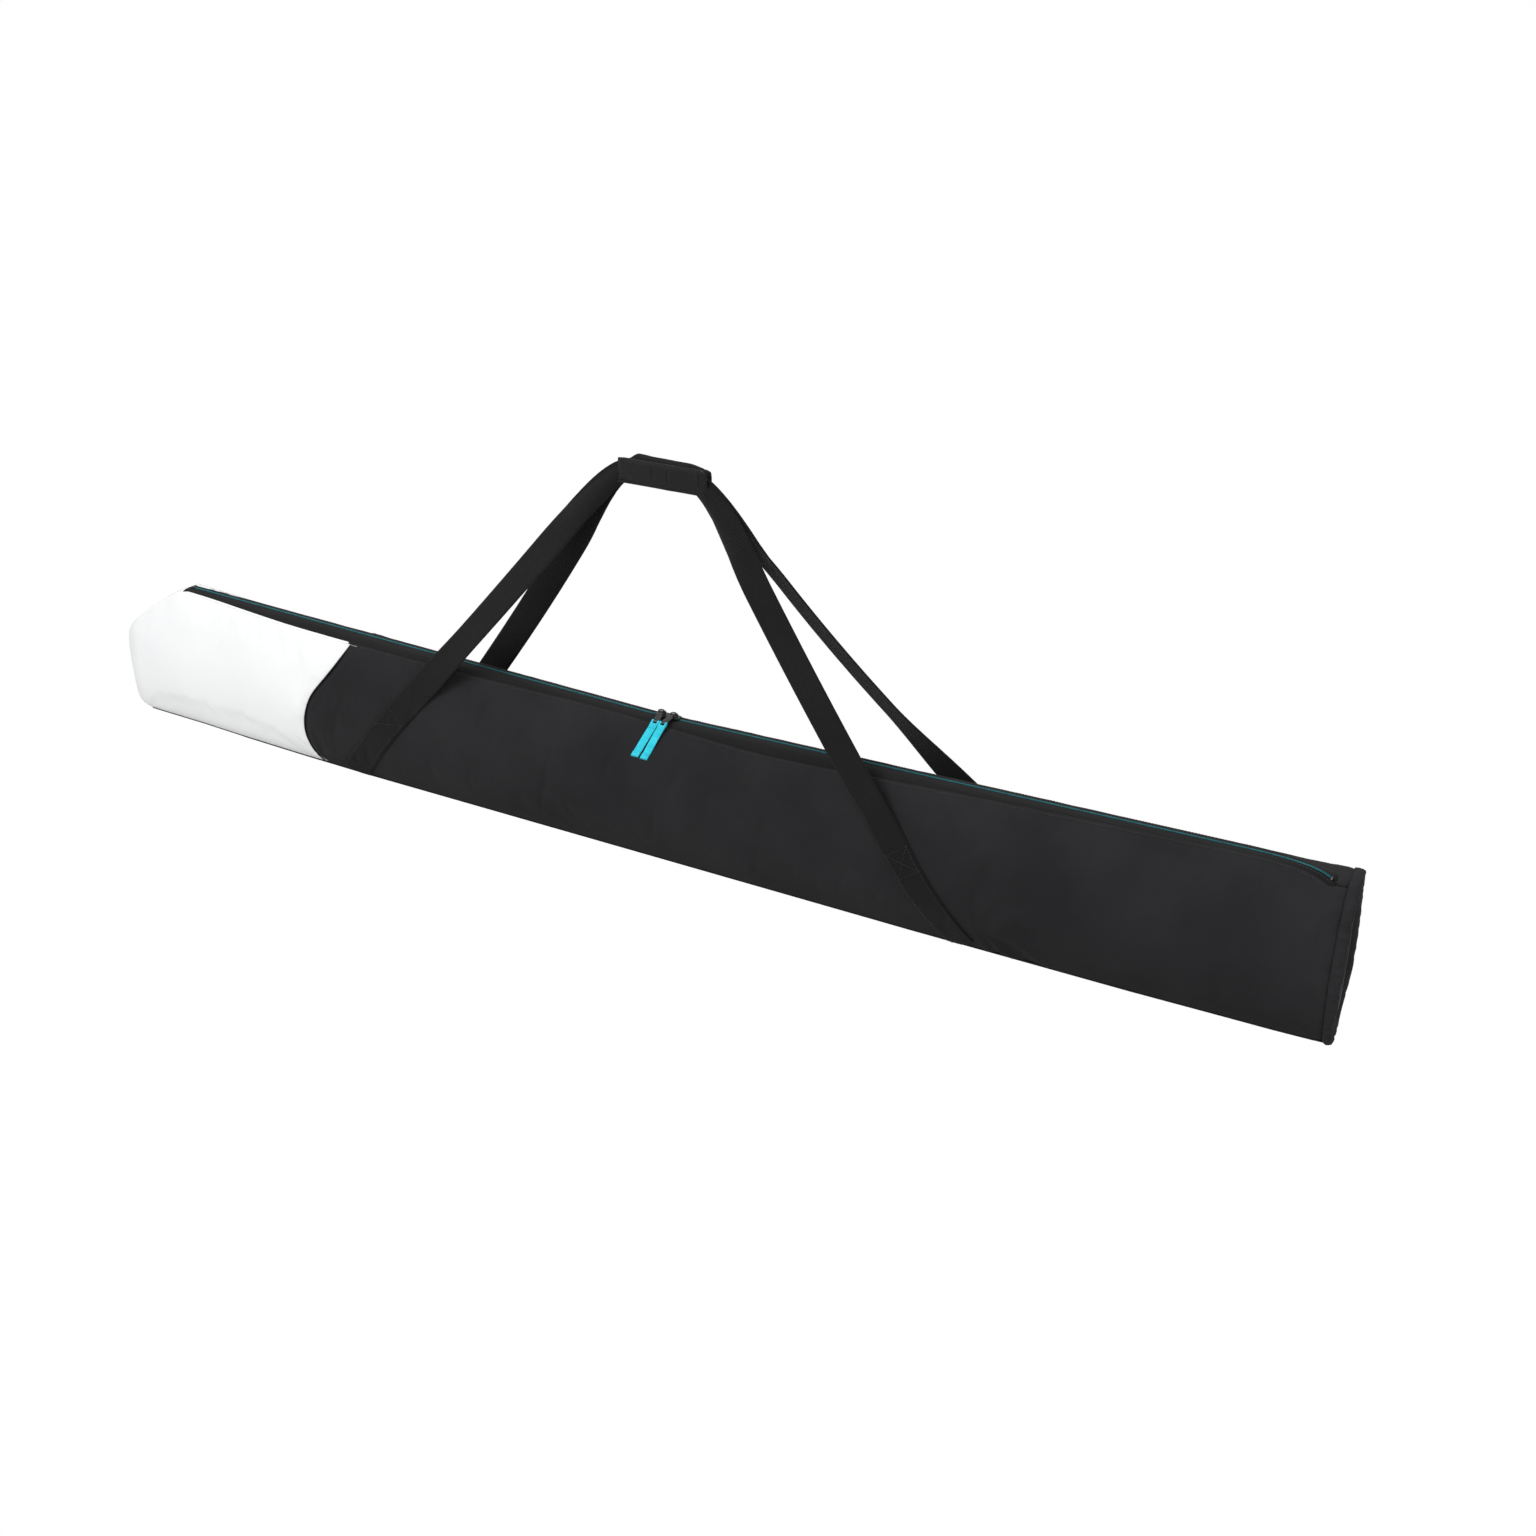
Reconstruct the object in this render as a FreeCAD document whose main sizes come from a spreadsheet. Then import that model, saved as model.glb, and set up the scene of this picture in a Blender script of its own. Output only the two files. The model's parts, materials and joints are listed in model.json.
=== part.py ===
import FreeCAD, Part
import math
import os
import Sketcher
from FreeCAD import Placement, Rotation, Vector

# A long padded bag for one pair of skis. X runs from the nose (-) to the tail (+),
# the front side faces -Y, Z is up. The origin is under the middle, on the floor.

SIZES = [
    # overall
    ("length", 1850), ("zip_low", 193), ("zip_nose", 220), ("zip_tail", 208), ("zip_middle", 61),
    # half-widths of the cross-section, at the floor, at the zip and at the belly
    ("foot_half", 28), ("zip_half", 16),
    ("belly_tip", 34), ("belly_nose", 44), ("belly_middle", 50), ("belly_tail", 48), ("belly_end", 43),
    ("nose_station", 145), ("tail_station", 125),
    # layers of the wall
    ("fabric", 1.5), ("foam", 4), ("lining", 0.8), ("clearance", 0.3),
    # outline of the nose, and of the seam between the nose panels and the side panels
    ("nose_corner", 38), ("nose_kink", 100), ("nose_sweep", 277), ("zip_start", 148),
    ("seam_high", 246), ("seam_bend", 500), ("seam_bend_height", 138), ("seam_radius", 76.4),
    ("seam_low", 489),
    # tail end
    ("rim_depth", 9), ("rim_width", 12), ("end_recess", 5),
    # zip
    ("tape", 0.8), ("tape_half", 17.5), ("coil_gap", 0.7), ("coil_width", 2.6), ("coil_height", 1.8),
    ("zip_finish", 30), ("stop_length", 5),
    # sliders and their pulls
    ("slider_length", 17.6), ("slider_half", 5.8), ("slider_plate", 1.4), ("slider_play", 0.4),
    ("slider_spacing", 18.6), ("rod", 1.1), ("rod_play", 0.05), ("rod_lift", 3.2), ("rod_half", 4.4),
    ("eye", 2.5), ("eye_half", 2.2), ("tab", 1.6), ("tab_length", 23), ("tab_half", 4.4),
    ("left_tab_lean", 13), ("right_tab_lean", -4), ("tab_drape", 11),
    ("ribbon_width", 11.2), ("ribbon_length", 51), ("ribbon", 1.8), ("ribbon_lean", 22),
    # webbing
    ("webbing_width", 38), ("webbing", 1.6), ("stitch_top", 125), ("webbing_foot", 4),
    # carry grip
    ("grip_length", 131), ("grip_height", 36), ("grip_low", 498), ("crown_height", 22),
    ("crown_overhang", 8), ("crown_side", 0.6), ("leaf", 4.4), ("leaf_cover", 1.2), ("leaf_inner", 2.6),
    ("grip_fold", 3), ("hook", 2.2), ("hook_height", 9),
    # where the webbing would meet the floor line, left and right of the middle
    ("front_left_foot", -462), ("front_right_foot", 500), ("rear_left_foot", -388), ("rear_right_foot", 620),
]

doc = FreeCAD.newDocument("ski_bag")
sheet = doc.addObject("Spreadsheet::Sheet", "Bag")
for row, (alias, number) in enumerate(SIZES, start=1):
    sheet.set(f"A{row}", alias)
    sheet.set(f"B{row}", str(number))
    sheet.setAlias(f"B{row}", alias)
doc.recompute()


def size(name):
    return float(sheet.get(name))


# ---------------------------------------------------------------- sketches

def new_body(label):
    made = doc.addObject("PartDesign::Body", label)
    made.Label = label
    return made


def sketch_on(body, plane, offset="0"):
    """A sketch on one of the body's own origin planes, moved along its normal by an expression."""
    sketch = body.newObject("Sketcher::SketchObject", "sketch")
    origin_plane = [f for f in body.Origin.OriginFeatures if f.Role == plane][0]
    sketch.AttachmentSupport = [(origin_plane, "")]
    sketch.MapMode = "FlatFace"
    sketch.setExpression("AttachmentOffset.Base.z", offset)
    return sketch


def constrain(sketch, constraint, expression):
    index = sketch.addConstraint(constraint)
    sketch.setExpression(f"Constraints[{index}]", expression)


def arc_through(start, end, radius):
    """Arc of the given radius; a positive one bulges to the left of the way from start to end."""
    chord = end - start
    left = Vector(-chord.y, chord.x, 0).normalize() * math.copysign(1, radius)
    depth = math.sqrt(max(radius ** 2 - (chord.Length / 2) ** 2, 0))
    centre = (start + end) / 2 - left * depth
    clockwise = radius > 0
    first, last = (end, start) if clockwise else (start, end)
    angles = [math.atan2(p.y - centre.y, p.x - centre.x) for p in (first, last)]
    circle = Part.Circle(centre, Vector(0, 0, 1), abs(radius))
    if angles[1] < angles[0]:
        angles[1] += 2 * math.pi
    ends = (2, 1) if clockwise else (1, 2)
    return Part.ArcOfCircle(circle, *angles), ends


def outline(sketch, corners):
    """A closed outline. A corner is (x, y) or (x, y, radius), all expressions, where the radius
    is that of the arc that leads to the corner."""
    values = [[float(sketch.evalExpression(e)) for e in corner] for corner in corners]
    spots = [Vector(v[0], v[1], 0) for v in values]
    edges = []
    for i, corner in enumerate(corners):
        start, end = spots[i - 1], spots[i]
        if len(corner) == 3:
            geometry, ends = arc_through(start, end, values[i][2])
        else:
            geometry, ends = Part.LineSegment(start, end), (1, 2)
        edges.append((sketch.addGeometry(geometry), ends))
    for i, corner in enumerate(corners):
        index, (first, last) = edges[i]
        before, (_, before_last) = edges[i - 1]
        sketch.addConstraint(Sketcher.Constraint("Coincident", before, before_last, index, first))
        constrain(sketch, Sketcher.Constraint("DistanceX", -1, 1, index, last, values[i][0]), corner[0])
        constrain(sketch, Sketcher.Constraint("DistanceY", -1, 1, index, last, values[i][1]), corner[1])
        if len(corner) == 3:
            radius = Sketcher.Constraint("Radius", index, abs(values[i][2]))
            constrain(sketch, radius, f"abs({corner[2]})")


def circle(sketch, x, y, radius):
    centre = Vector(*[float(sketch.evalExpression(e)) for e in (x, y)], 0)
    value = float(sketch.evalExpression(radius))
    index = sketch.addGeometry(Part.Circle(centre, Vector(0, 0, 1), value))
    constrain(sketch, Sketcher.Constraint("Radius", index, value), radius)
    constrain(sketch, Sketcher.Constraint("DistanceX", -1, 1, index, 3, centre.x), x)
    constrain(sketch, Sketcher.Constraint("DistanceY", -1, 1, index, 3, centre.y), y)


def box_corners(x0, x1, y0, y1):
    return [(x0, y0), (x1, y0), (x1, y1), (x0, y1)]


# ---------------------------------------------------------------- features

def pad(body, sketch, length):
    feature = body.newObject("PartDesign::Pad", "pad")
    feature.Profile = sketch
    feature.setExpression("Length", length)
    feature.SideType = "Symmetric"
    return feature


def pocket_all(body, sketch):
    feature = body.newObject("PartDesign::Pocket", "pocket")
    feature.Profile = sketch
    feature.Type = "ThroughAll"
    feature.SideType = "Symmetric"
    return feature


def keep_inside(body, plane, corners):
    """Cuts away all that lies outside the outline, seen square to the plane."""
    sketch = sketch_on(body, plane)
    far = "2*Bag.length"
    outline(sketch, box_corners(f"-{far}", far, f"-{far}", far))
    outline(sketch, corners)
    pocket_all(body, sketch)


def plate(label, plane, corners, low, high):
    """A flat piece with the given outline, between two distances along the plane's normal."""
    body = new_body(label)
    sketch = sketch_on(body, plane, f"({low}+({high}))/2")
    outline(sketch, corners)
    pad(body, sketch, f"{high}-({low})")
    return body


# ---------------------------------------------------------------- cross-section of the bag

NOSE_X = "(-Bag.length/2+Bag.nose_station)"
TAIL_X = "(Bag.length/2-Bag.tail_station)"
STATIONS = [("-Bag.length/2", "Bag.belly_tip"), (NOSE_X, "Bag.belly_nose"),
            ("Bag.zip_middle", "Bag.belly_middle"), (TAIL_X, "Bag.belly_tail"),
            ("Bag.length/2", "Bag.belly_end")]


def zip_height(x):
    """Height of the underside of the zip tapes: two straight runs that dip to the middle."""
    nose_run = f"(({x})-Bag.zip_middle)/(-Bag.length/2-Bag.zip_middle)*(Bag.zip_nose-Bag.zip_low)"
    tail_run = f"(({x})-Bag.zip_middle)/(Bag.length/2-Bag.zip_middle)*(Bag.zip_tail-Bag.zip_low)"
    return f"(Bag.zip_low+max({nose_run};{tail_run}))"


def bulge(belly):
    return f"({belly}-(Bag.foot_half+Bag.zip_half)/2)"


def side_radius(belly, top):
    return f"((({top})^2/4+{bulge(belly)}^2)/(2*{bulge(belly)}))"


def side_arc(sketch, side, belly, top):
    """The construction arc that the wall's outer face follows, from the floor to the zip."""
    corners = [(f"{side}*Bag.foot_half", "0"), (f"{side}*Bag.zip_half", top)]
    spots = [Vector(*[float(sketch.evalExpression(e)) for e in c], 0) for c in corners]
    value = float(sketch.evalExpression(side_radius(belly, top)))
    geometry, ends = arc_through(spots[0], spots[1], -side * value)
    index = sketch.addGeometry(geometry, True)
    for corner, end, spot in zip(corners, ends, spots):
        constrain(sketch, Sketcher.Constraint("DistanceX", -1, 1, index, end, spot.x), corner[0])
        constrain(sketch, Sketcher.Constraint("DistanceY", -1, 1, index, end, spot.y), corner[1])
    constrain(sketch, Sketcher.Constraint("Radius", index, value), side_radius(belly, top))
    return index, sketch.getPoint(index, 3), value


def inset_arc(sketch, base, side, inset, low, high):
    """An arc parallel to the construction arc, cut off at two heights. Returns its lower and
    upper ends as (geometry, point) pairs."""
    base_index, centre, base_radius = base
    radius = base_radius - float(sketch.evalExpression(inset))
    levels = [float(sketch.evalExpression(e)) for e in (low, high)]
    rises = [math.asin((level - centre.y) / radius) for level in levels]
    spots = [Vector(centre.x + side * radius * math.cos(r), centre.y + radius * math.sin(r), 0)
             for r in rises]
    geometry, ends = arc_through(spots[0], spots[1], -side * radius)
    index = sketch.addGeometry(geometry)
    sketch.addConstraint(Sketcher.Constraint("Coincident", index, 3, base_index, 3))
    constrain(sketch, Sketcher.Constraint("Radius", index, radius),
              f"{side_radius_of[sketch.Name]}-({inset})")
    for end, level, expression in zip(ends, levels, (low, high)):
        constrain(sketch, Sketcher.Constraint("DistanceY", -1, 1, index, end, level), expression)
    return (index, ends[0]), (index, ends[1])


side_radius_of = {}


def join(sketch, first, second):
    line = sketch.addGeometry(Part.LineSegment(sketch.getPoint(*first), sketch.getPoint(*second)))
    sketch.addConstraint(Sketcher.Constraint("Coincident", line, 1, *first))
    sketch.addConstraint(Sketcher.Constraint("Coincident", line, 2, *second))


def wall_layer(label, side, inset, thickness, low, drop, trim):
    """One layer of a side wall, lofted through the stations and trimmed to an outline in XZ."""
    body = new_body(label)
    sketches = []
    for x, belly in STATIONS:
        sketch = sketch_on(body, "YZ_Plane", x)
        top = zip_height(x)
        side_radius_of[sketch.Name] = side_radius(belly, top)
        base = side_arc(sketch, side, belly, top)
        high = f"{top}-({drop})"
        outer = inset_arc(sketch, base, side, inset, low, high)
        inner = inset_arc(sketch, base, side, f"{inset}+{thickness}", low, high)
        join(sketch, outer[0], inner[0])
        join(sketch, outer[1], inner[1])
        sketches.append(sketch)
    loft = body.newObject("PartDesign::AdditiveLoft", "loft")
    loft.Profile = sketches[0]
    loft.Sections = sketches[1:]
    loft.Ruled = True
    keep_inside(body, "XZ_Plane", trim)
    return body


def lens(sketch, belly, top, inset, low, drop):
    """The whole cross-section, inset by the same amount on both sides."""
    side_radius_of[sketch.Name] = side_radius(belly, top)
    ends = []
    for side in (1, -1):
        base = side_arc(sketch, side, belly, top)
        ends.append(inset_arc(sketch, base, side, inset, low, f"{top}-({drop})"))
    join(sketch, ends[0][0], ends[1][0])
    join(sketch, ends[0][1], ends[1][1])


# ---------------------------------------------------------------- outlines seen from the side

ABOVE = "2*Bag.zip_nose"
TAIL_EDGE = "(Bag.length/2-Bag.rim_depth-Bag.clearance)"
ZIP_START = "(-Bag.length/2+Bag.zip_start)"
PANEL_FOOT = "Bag.fabric+Bag.clearance"


def nose_edge(inset, low):
    """Bottom corner, upright front and swept top of the nose, from the floor to the zip."""
    front = f"-Bag.length/2+{inset}"
    return [("-Bag.length/2+Bag.nose_corner", low),
            (front, f"Bag.nose_corner", f"Bag.nose_corner-({inset})"),
            (front, "Bag.nose_kink"),
            (ZIP_START, f"{zip_height(ZIP_START)}-({inset})", f"Bag.nose_sweep-({inset})")]


def seam(shift):
    """The seam of the nose panel, from the top down, moved along X by a shift."""
    return [(f"-Bag.seam_high+{shift}", ABOVE), (f"-Bag.seam_bend+{shift}", "Bag.seam_bend_height"),
            (f"-Bag.seam_low+{shift}", "0", "-Bag.seam_radius")]


NOSE_PANEL = nose_edge("Bag.clearance", "Bag.clearance") + [(ZIP_START, ABOVE)] + seam("0")
SIDE_PANEL = seam("Bag.clearance") + [(TAIL_EDGE, "0"), (TAIL_EDGE, ABOVE)]
INNER_WALL = nose_edge("4*Bag.fabric", "4*Bag.fabric") + [(ZIP_START, ABOVE), (f"{TAIL_EDGE}-2", ABOVE),
                                               (f"{TAIL_EDGE}-2", "0")]


# ---------------------------------------------------------------- walls

def side_walls():
    for name, side in (("front", -1), ("rear", 1)):
        wall_layer(f"{name}_nose_panel", side, "0", "Bag.fabric", PANEL_FOOT, "Bag.clearance", NOSE_PANEL)
        wall_layer(f"{name}_side_panel", side, "0", "Bag.fabric", PANEL_FOOT, "Bag.clearance", SIDE_PANEL)
        foam_inset = "Bag.fabric+Bag.clearance"
        wall_layer(f"{name}_wall_foam", side, foam_inset, "Bag.foam", PANEL_FOOT, "4", INNER_WALL)
        lining_inset = f"{foam_inset}+Bag.foam+Bag.clearance"
        lining_foot = f"{PANEL_FOOT}+Bag.foam+Bag.lining+2*Bag.clearance"
        wall_layer(f"{name}_lining", side, lining_inset, "Bag.lining", lining_foot, "4.5", INNER_WALL)


def floor_layers():
    nose = "(-Bag.length/2+Bag.nose_corner)"
    foam_low = PANEL_FOOT
    foam_high = f"({PANEL_FOOT}+Bag.foam)"
    foam_half = "(Bag.foot_half-Bag.fabric-1.15*Bag.foam-1.4)"
    plate("bottom_gusset", "XY_Plane",
          box_corners(nose, TAIL_EDGE, "-Bag.foot_half", "Bag.foot_half"), "0", "Bag.fabric")
    plate("bottom_foam", "XY_Plane",
          box_corners(nose, f"{TAIL_EDGE}-2", f"-{foam_half}", foam_half), foam_low, foam_high)
    lining_low = f"({foam_high}+Bag.clearance)"
    plate("bottom_lining", "XY_Plane",
          box_corners(nose, f"{TAIL_EDGE}-2", f"-({foam_half}+2)", f"{foam_half}+2"),
          lining_low, f"{lining_low}+Bag.lining")


def nose_strip():
    """The strip that closes the nose between its two panels, from the gusset to the zip."""
    body = new_body("nose_end_strip")
    sketch = sketch_on(body, "XZ_Plane")
    outer = nose_edge("0", "0")
    inner = nose_edge("Bag.fabric", "Bag.fabric")
    start = "-Bag.length/2+Bag.nose_corner-Bag.clearance"
    outer[0] = (start, "0")
    inner[0] = (start, "Bag.fabric")
    inner[3] = (ZIP_START, inner[3][1], inner[3][2])
    way_back = [inner[3][:2], (*inner[2], f"-({inner[3][2]})"), inner[1][:2],
                (*inner[0], f"-({inner[1][2]})")]
    outline(sketch, outer + way_back)
    pad(body, sketch, "4*Bag.belly_middle")
    trim = sketch_on(body, "YZ_Plane")
    far = "2*Bag.length"
    outline(trim, box_corners(f"-{far}", far, f"-{far}", far))
    lens(trim, "Bag.belly_tip", "Bag.zip_nose", "2.2*Bag.fabric", "-1", "0")
    pocket_all(body, trim)


def tail_end():
    rim = new_body("tail_end_rim")
    middle = "Bag.length/2-Bag.rim_depth/2"
    sketch = sketch_on(rim, "YZ_Plane", middle)
    lens(sketch, "Bag.belly_end", "Bag.zip_tail", "0", "0", "0")
    pad(rim, sketch, "Bag.rim_depth")
    opening = sketch_on(rim, "YZ_Plane")
    lens(opening, "Bag.belly_end", "Bag.zip_tail", "Bag.rim_width", "Bag.rim_width", "Bag.rim_width")
    pocket_all(rim, opening)
    panel = new_body("tail_end_panel")
    sketch = sketch_on(panel, "YZ_Plane", "Bag.length/2-Bag.end_recess-Bag.fabric/2")
    edge = "Bag.rim_width+Bag.clearance"
    lens(sketch, "Bag.belly_end", "Bag.zip_tail", edge, edge, edge)
    pad(panel, sketch, "Bag.fabric")


# ---------------------------------------------------------------- zip

def zip_strip(label, side, inner, outer, low, high, start, finish):
    """A strip that follows both runs of the zip, between two offsets from its middle line."""
    spots = (start, "Bag.zip_middle", finish)
    corners = [(x, f"{zip_height(x)}+{low}") for x in spots]
    corners += [(x, f"{zip_height(x)}+{high}") for x in reversed(spots)]
    body = new_body(label)
    # the normal of the XZ plane points to -Y
    sketch = sketch_on(body, "XZ_Plane", f"-({side})*({inner}+({outer}))/2")
    outline(sketch, corners)
    pad(body, sketch, f"{outer}-({inner})")


def zip_parts():
    start = f"({ZIP_START}+Bag.clearance)"
    coil_start = f"({ZIP_START}+2*Bag.stop_length)"
    finish = "(Bag.length/2-Bag.zip_finish)"
    coil_top = "Bag.tape+Bag.coil_height"
    for name, side in (("front", -1), ("rear", 1)):
        zip_strip(f"{name}_zip_tape", side, "Bag.coil_gap+0.2", "Bag.tape_half", "0", "Bag.tape",
                  start, TAIL_EDGE)
        zip_strip(f"{name}_zip_coil", side, "Bag.coil_gap", "Bag.coil_gap+Bag.coil_width", "Bag.tape",
                  coil_top, coil_start, finish)
    reach = "Bag.coil_gap+Bag.coil_width"
    for label, low_x in (("nose_zip_stop", f"({coil_start}-Bag.stop_length-Bag.clearance)"),
                         ("tail_zip_stop", f"({finish}+Bag.clearance)")):
        high_x = f"({low_x}+Bag.stop_length)"
        corners = [(low_x, f"{zip_height(low_x)}+Bag.tape"), (high_x, f"{zip_height(high_x)}+Bag.tape"),
                   (high_x, f"{zip_height(high_x)}+{coil_top}"), (low_x, f"{zip_height(low_x)}+{coil_top}")]
        plate(label, "XZ_Plane", corners, f"-({reach})", reach)


# ---------------------------------------------------------------- sliders and pulls

PLATE_LOW = "(Bag.tape+Bag.coil_height+Bag.slider_play)"
PLATE_HIGH = f"({PLATE_LOW}+Bag.slider_plate)"
ROD_HEIGHT = f"({PLATE_HIGH}+Bag.rod_lift)"
LOOP = "(Bag.rod+Bag.rod_play+0.9)"


def expression_value(expression):
    return float(sheet.evalExpression(expression.replace("Bag.", "")))


def slider_seat(way):
    """Placement of a slider on its run of the zip; way is -1 to the nose, 1 to the tail."""
    end = -size("length") / 2 if way < 0 else size("length") / 2
    rise = size("zip_nose" if way < 0 else "zip_tail") - size("zip_low")
    slope = math.degrees(math.atan2(rise, end - size("zip_middle"))) if way > 0 else \
        -math.degrees(math.atan2(rise, size("zip_middle") - end))
    along = way * size("slider_spacing") / 2
    height = size("zip_low") + abs(along) * math.tan(math.radians(abs(slope)))
    spot = Vector(size("zip_middle") + along, 0, height)
    return Placement(spot, Rotation(Vector(0, 1, 0), -slope))


def slider(label, way, seat):
    """Two plates that hold the coils between them, joined by a thin divider."""
    body = new_body(label)
    top = sketch_on(body, "XY_Plane", f"({PLATE_LOW}+{PLATE_HIGH})/2")
    half, wide, heel = "Bag.slider_length/2", "Bag.slider_half", "0.7*Bag.slider_half"
    # the heel, where the closed zip leaves, is narrower than the shoulders
    outline(top, [(f"{-way}*{half}", f"-{wide}"), (f"{-way}*{half}", wide),
                  (f"{way}*0.3*{half}", wide), (f"{way}*{half}", heel),
                  (f"{way}*{half}", f"-({heel})"), (f"{way}*0.3*{half}", f"-{wide}")])
    pad(body, top, "Bag.slider_plate")
    web = sketch_on(body, "XZ_Plane")
    web_low = "-Bag.slider_play-Bag.slider_plate/2"
    outline(web, box_corners("-0.3*Bag.slider_length", "0.3*Bag.slider_length", web_low,
                             f"{PLATE_LOW}+Bag.slider_plate/2"))
    pad(body, web, "2*(Bag.coil_gap-0.3)")
    bottom = sketch_on(body, "XY_Plane", "-Bag.slider_play-Bag.slider_plate/2")
    outline(bottom, box_corners(f"-0.9*{half}", f"0.9*{half}", f"-({heel})", heel))
    pad(body, bottom, "Bag.slider_plate")
    for side in (-1, 1):
        middle = f"{side}*(Bag.slider_half+Bag.coil_gap+Bag.coil_width+Bag.slider_play)/2"
        flange = sketch_on(body, "XZ_Plane", middle)
        outline(flange, box_corners(f"-0.6*{half}", f"0.6*{half}", "Bag.tape+Bag.slider_play",
                                    f"{PLATE_LOW}+Bag.slider_plate/2"))
        pad(body, flange, "Bag.slider_half-Bag.coil_gap-Bag.coil_width-Bag.slider_play")
    body.Placement = seat


def bridge(label, seat):
    """The bar over the slider that carries the pull, with a post at each end."""
    body = new_body(label)
    posts = sketch_on(body, "XZ_Plane")
    for way in (-1, 1):
        near, far = f"{way}*(Bag.rod_half-0.8)", f"{way}*(Bag.rod_half+0.8)"
        outline(posts, box_corners(near, far, PLATE_HIGH, f"{ROD_HEIGHT}+Bag.rod"))
    pad(body, posts, "2.4*Bag.rod")
    rod = sketch_on(body, "YZ_Plane")
    circle(rod, "0", ROD_HEIGHT, "Bag.rod")
    pad(body, rod, "2*Bag.rod_half")
    body.Placement = seat


def pull_tab(label, lean, seat):
    """A flat tab that turns on the bridge bar at one end and ends in a T at the other.
    It is drawn along -Y from the bar, and leans in its own plane; the T's bar lies along X."""
    body = new_body(label)
    ring = sketch_on(body, "YZ_Plane")
    circle(ring, "0", "0", "Bag.eye")
    pad(body, ring, "2*Bag.eye_half")
    slope = f"tan({lean})"

    def spot(x, y):
        return f"{x}+({y})*(-{slope})", y

    neck, loop = "0.8*Bag.eye_half", f"({LOOP}+Bag.slider_play)"
    start, wide = "-0.6*Bag.eye", "-0.45*Bag.tab_length"
    shoulder, tip = f"-(Bag.tab_length-{loop})", "-Bag.tab_length"
    left_side = [(f"-{neck}", start), (f"-{neck}", f"{wide}/2"), ("-Bag.tab_half", wide),
                 ("-Bag.tab_half", shoulder), (f"-{neck}", shoulder), (f"-{neck}", tip)]
    right_side = [(x[1:], y) for x, y in reversed(left_side)]
    blade = sketch_on(body, "XY_Plane")
    outline(blade, [spot(x, y) for x, y in left_side + right_side])
    pad(body, blade, "Bag.tab")
    crossbar = sketch_on(body, "YZ_Plane", f"Bag.tab_length*{slope}")
    circle(crossbar, "-Bag.tab_length", "0", "Bag.rod")
    pad(body, crossbar, "Bag.ribbon_width-1.2")
    bore = sketch_on(body, "YZ_Plane")
    circle(bore, "0", "0", "Bag.rod+Bag.rod_play")
    pocket_all(body, bore)
    body.Placement = seat * tab_swing()
    print_axis(label, body.Placement)


def tab_swing():
    """From the slider's frame to the tab's: up to the bar, then down over the front shoulder."""
    return Placement(Vector(0, 0, expression_value(ROD_HEIGHT)),
                     Rotation(Vector(1, 0, 0), size("tab_drape")))


def ribbon_fall(crossbar):
    """Angle under the horizontal at which a ribbon from the crossbar just clears the front wall."""
    apart = size("ribbon") / 2 + 2 * size("clearance")
    angles = []
    for step in range(1, 40):
        height = crossbar.z - size("ribbon_length") * step / 40
        out = wall_y(crossbar.x, min(height, size("zip_low"))) + crossbar.y
        down = crossbar.z - height
        reach = math.hypot(out, down)
        if reach > apart:
            angles.append(math.degrees(math.atan2(down, out) - math.asin(apart / reach)))
    return min(angles)


def pull_ribbon(label, lean, seat):
    """A ribbon folded in two round the T's bar, lying down the front wall and leaning to the nose.
    Its fold is open in the middle, where the tab's neck goes in."""
    body = new_body(label)
    fold = sketch_on(body, "YZ_Plane")
    circle(fold, "0", "0", LOOP)
    pad(body, fold, "Bag.ribbon_width")
    notch = sketch_on(body, "XY_Plane")
    side = "(0.8*Bag.eye_half+2*Bag.slider_play)"
    outline(notch, box_corners(f"-{side}", side, "-Bag.rod/2", f"2*{LOOP}"))
    pocket_all(body, notch)
    tail = sketch_on(body, "XY_Plane")
    half, sideways = "Bag.ribbon_width/2", "Bag.ribbon_length*tan(Bag.ribbon_lean)"
    outline(tail, [(f"-{half}", "-Bag.rod"), (f"-{half}-{sideways}", "-Bag.ribbon_length"),
                   (f"{half}-{sideways}", "-Bag.ribbon_length"), (half, "-Bag.rod")])
    pad(body, tail, "Bag.ribbon")
    bore = sketch_on(body, "YZ_Plane")
    circle(bore, "0", "0", "Bag.rod+Bag.rod_play")
    pocket_all(body, bore)
    reach = size("tab_length")
    tip = seat * tab_swing() * Placement(Vector(reach * math.tan(math.radians(lean)), -reach, 0), Rotation())
    fall = ribbon_fall(tip.Base)
    body.Placement = tip * Placement(Vector(), Rotation(Vector(1, 0, 0), fall - size("tab_drape")))
    print_axis(label, tip)
    print(f"bend {label} {fall - size('tab_drape'):.4f} {size('tab_drape'):.4f}")


def print_axis(label, frame):
    axis = frame.Rotation.multVec(Vector(-1, 0, 0))
    print("axis", label, *[round(c, 4) for c in (*frame.Base, *axis)])


def sliders():
    for name, way in (("left", -1), ("right", 1)):
        seat = slider_seat(way)
        slider(f"{name}_slider", way, seat)
        bridge(f"{name}_slider_bridge", seat)
        lean = size(f"{name}_tab_lean")
        pull_tab(f"{name}_pull_tab", lean, seat)
        pull_ribbon(f"{name}_pull_ribbon", lean, seat)


# ---------------------------------------------------------------- webbing and grip

CROWN_MIDDLE = "(Bag.grip_low+1+Bag.crown_height/2)"
CROWN_TOP = "(Bag.grip_low+1+Bag.crown_height)"


def crown_end(way):
    return "-Bag.crown_overhang" if way < 0 else "(Bag.grip_length+Bag.crown_overhang)"


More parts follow.
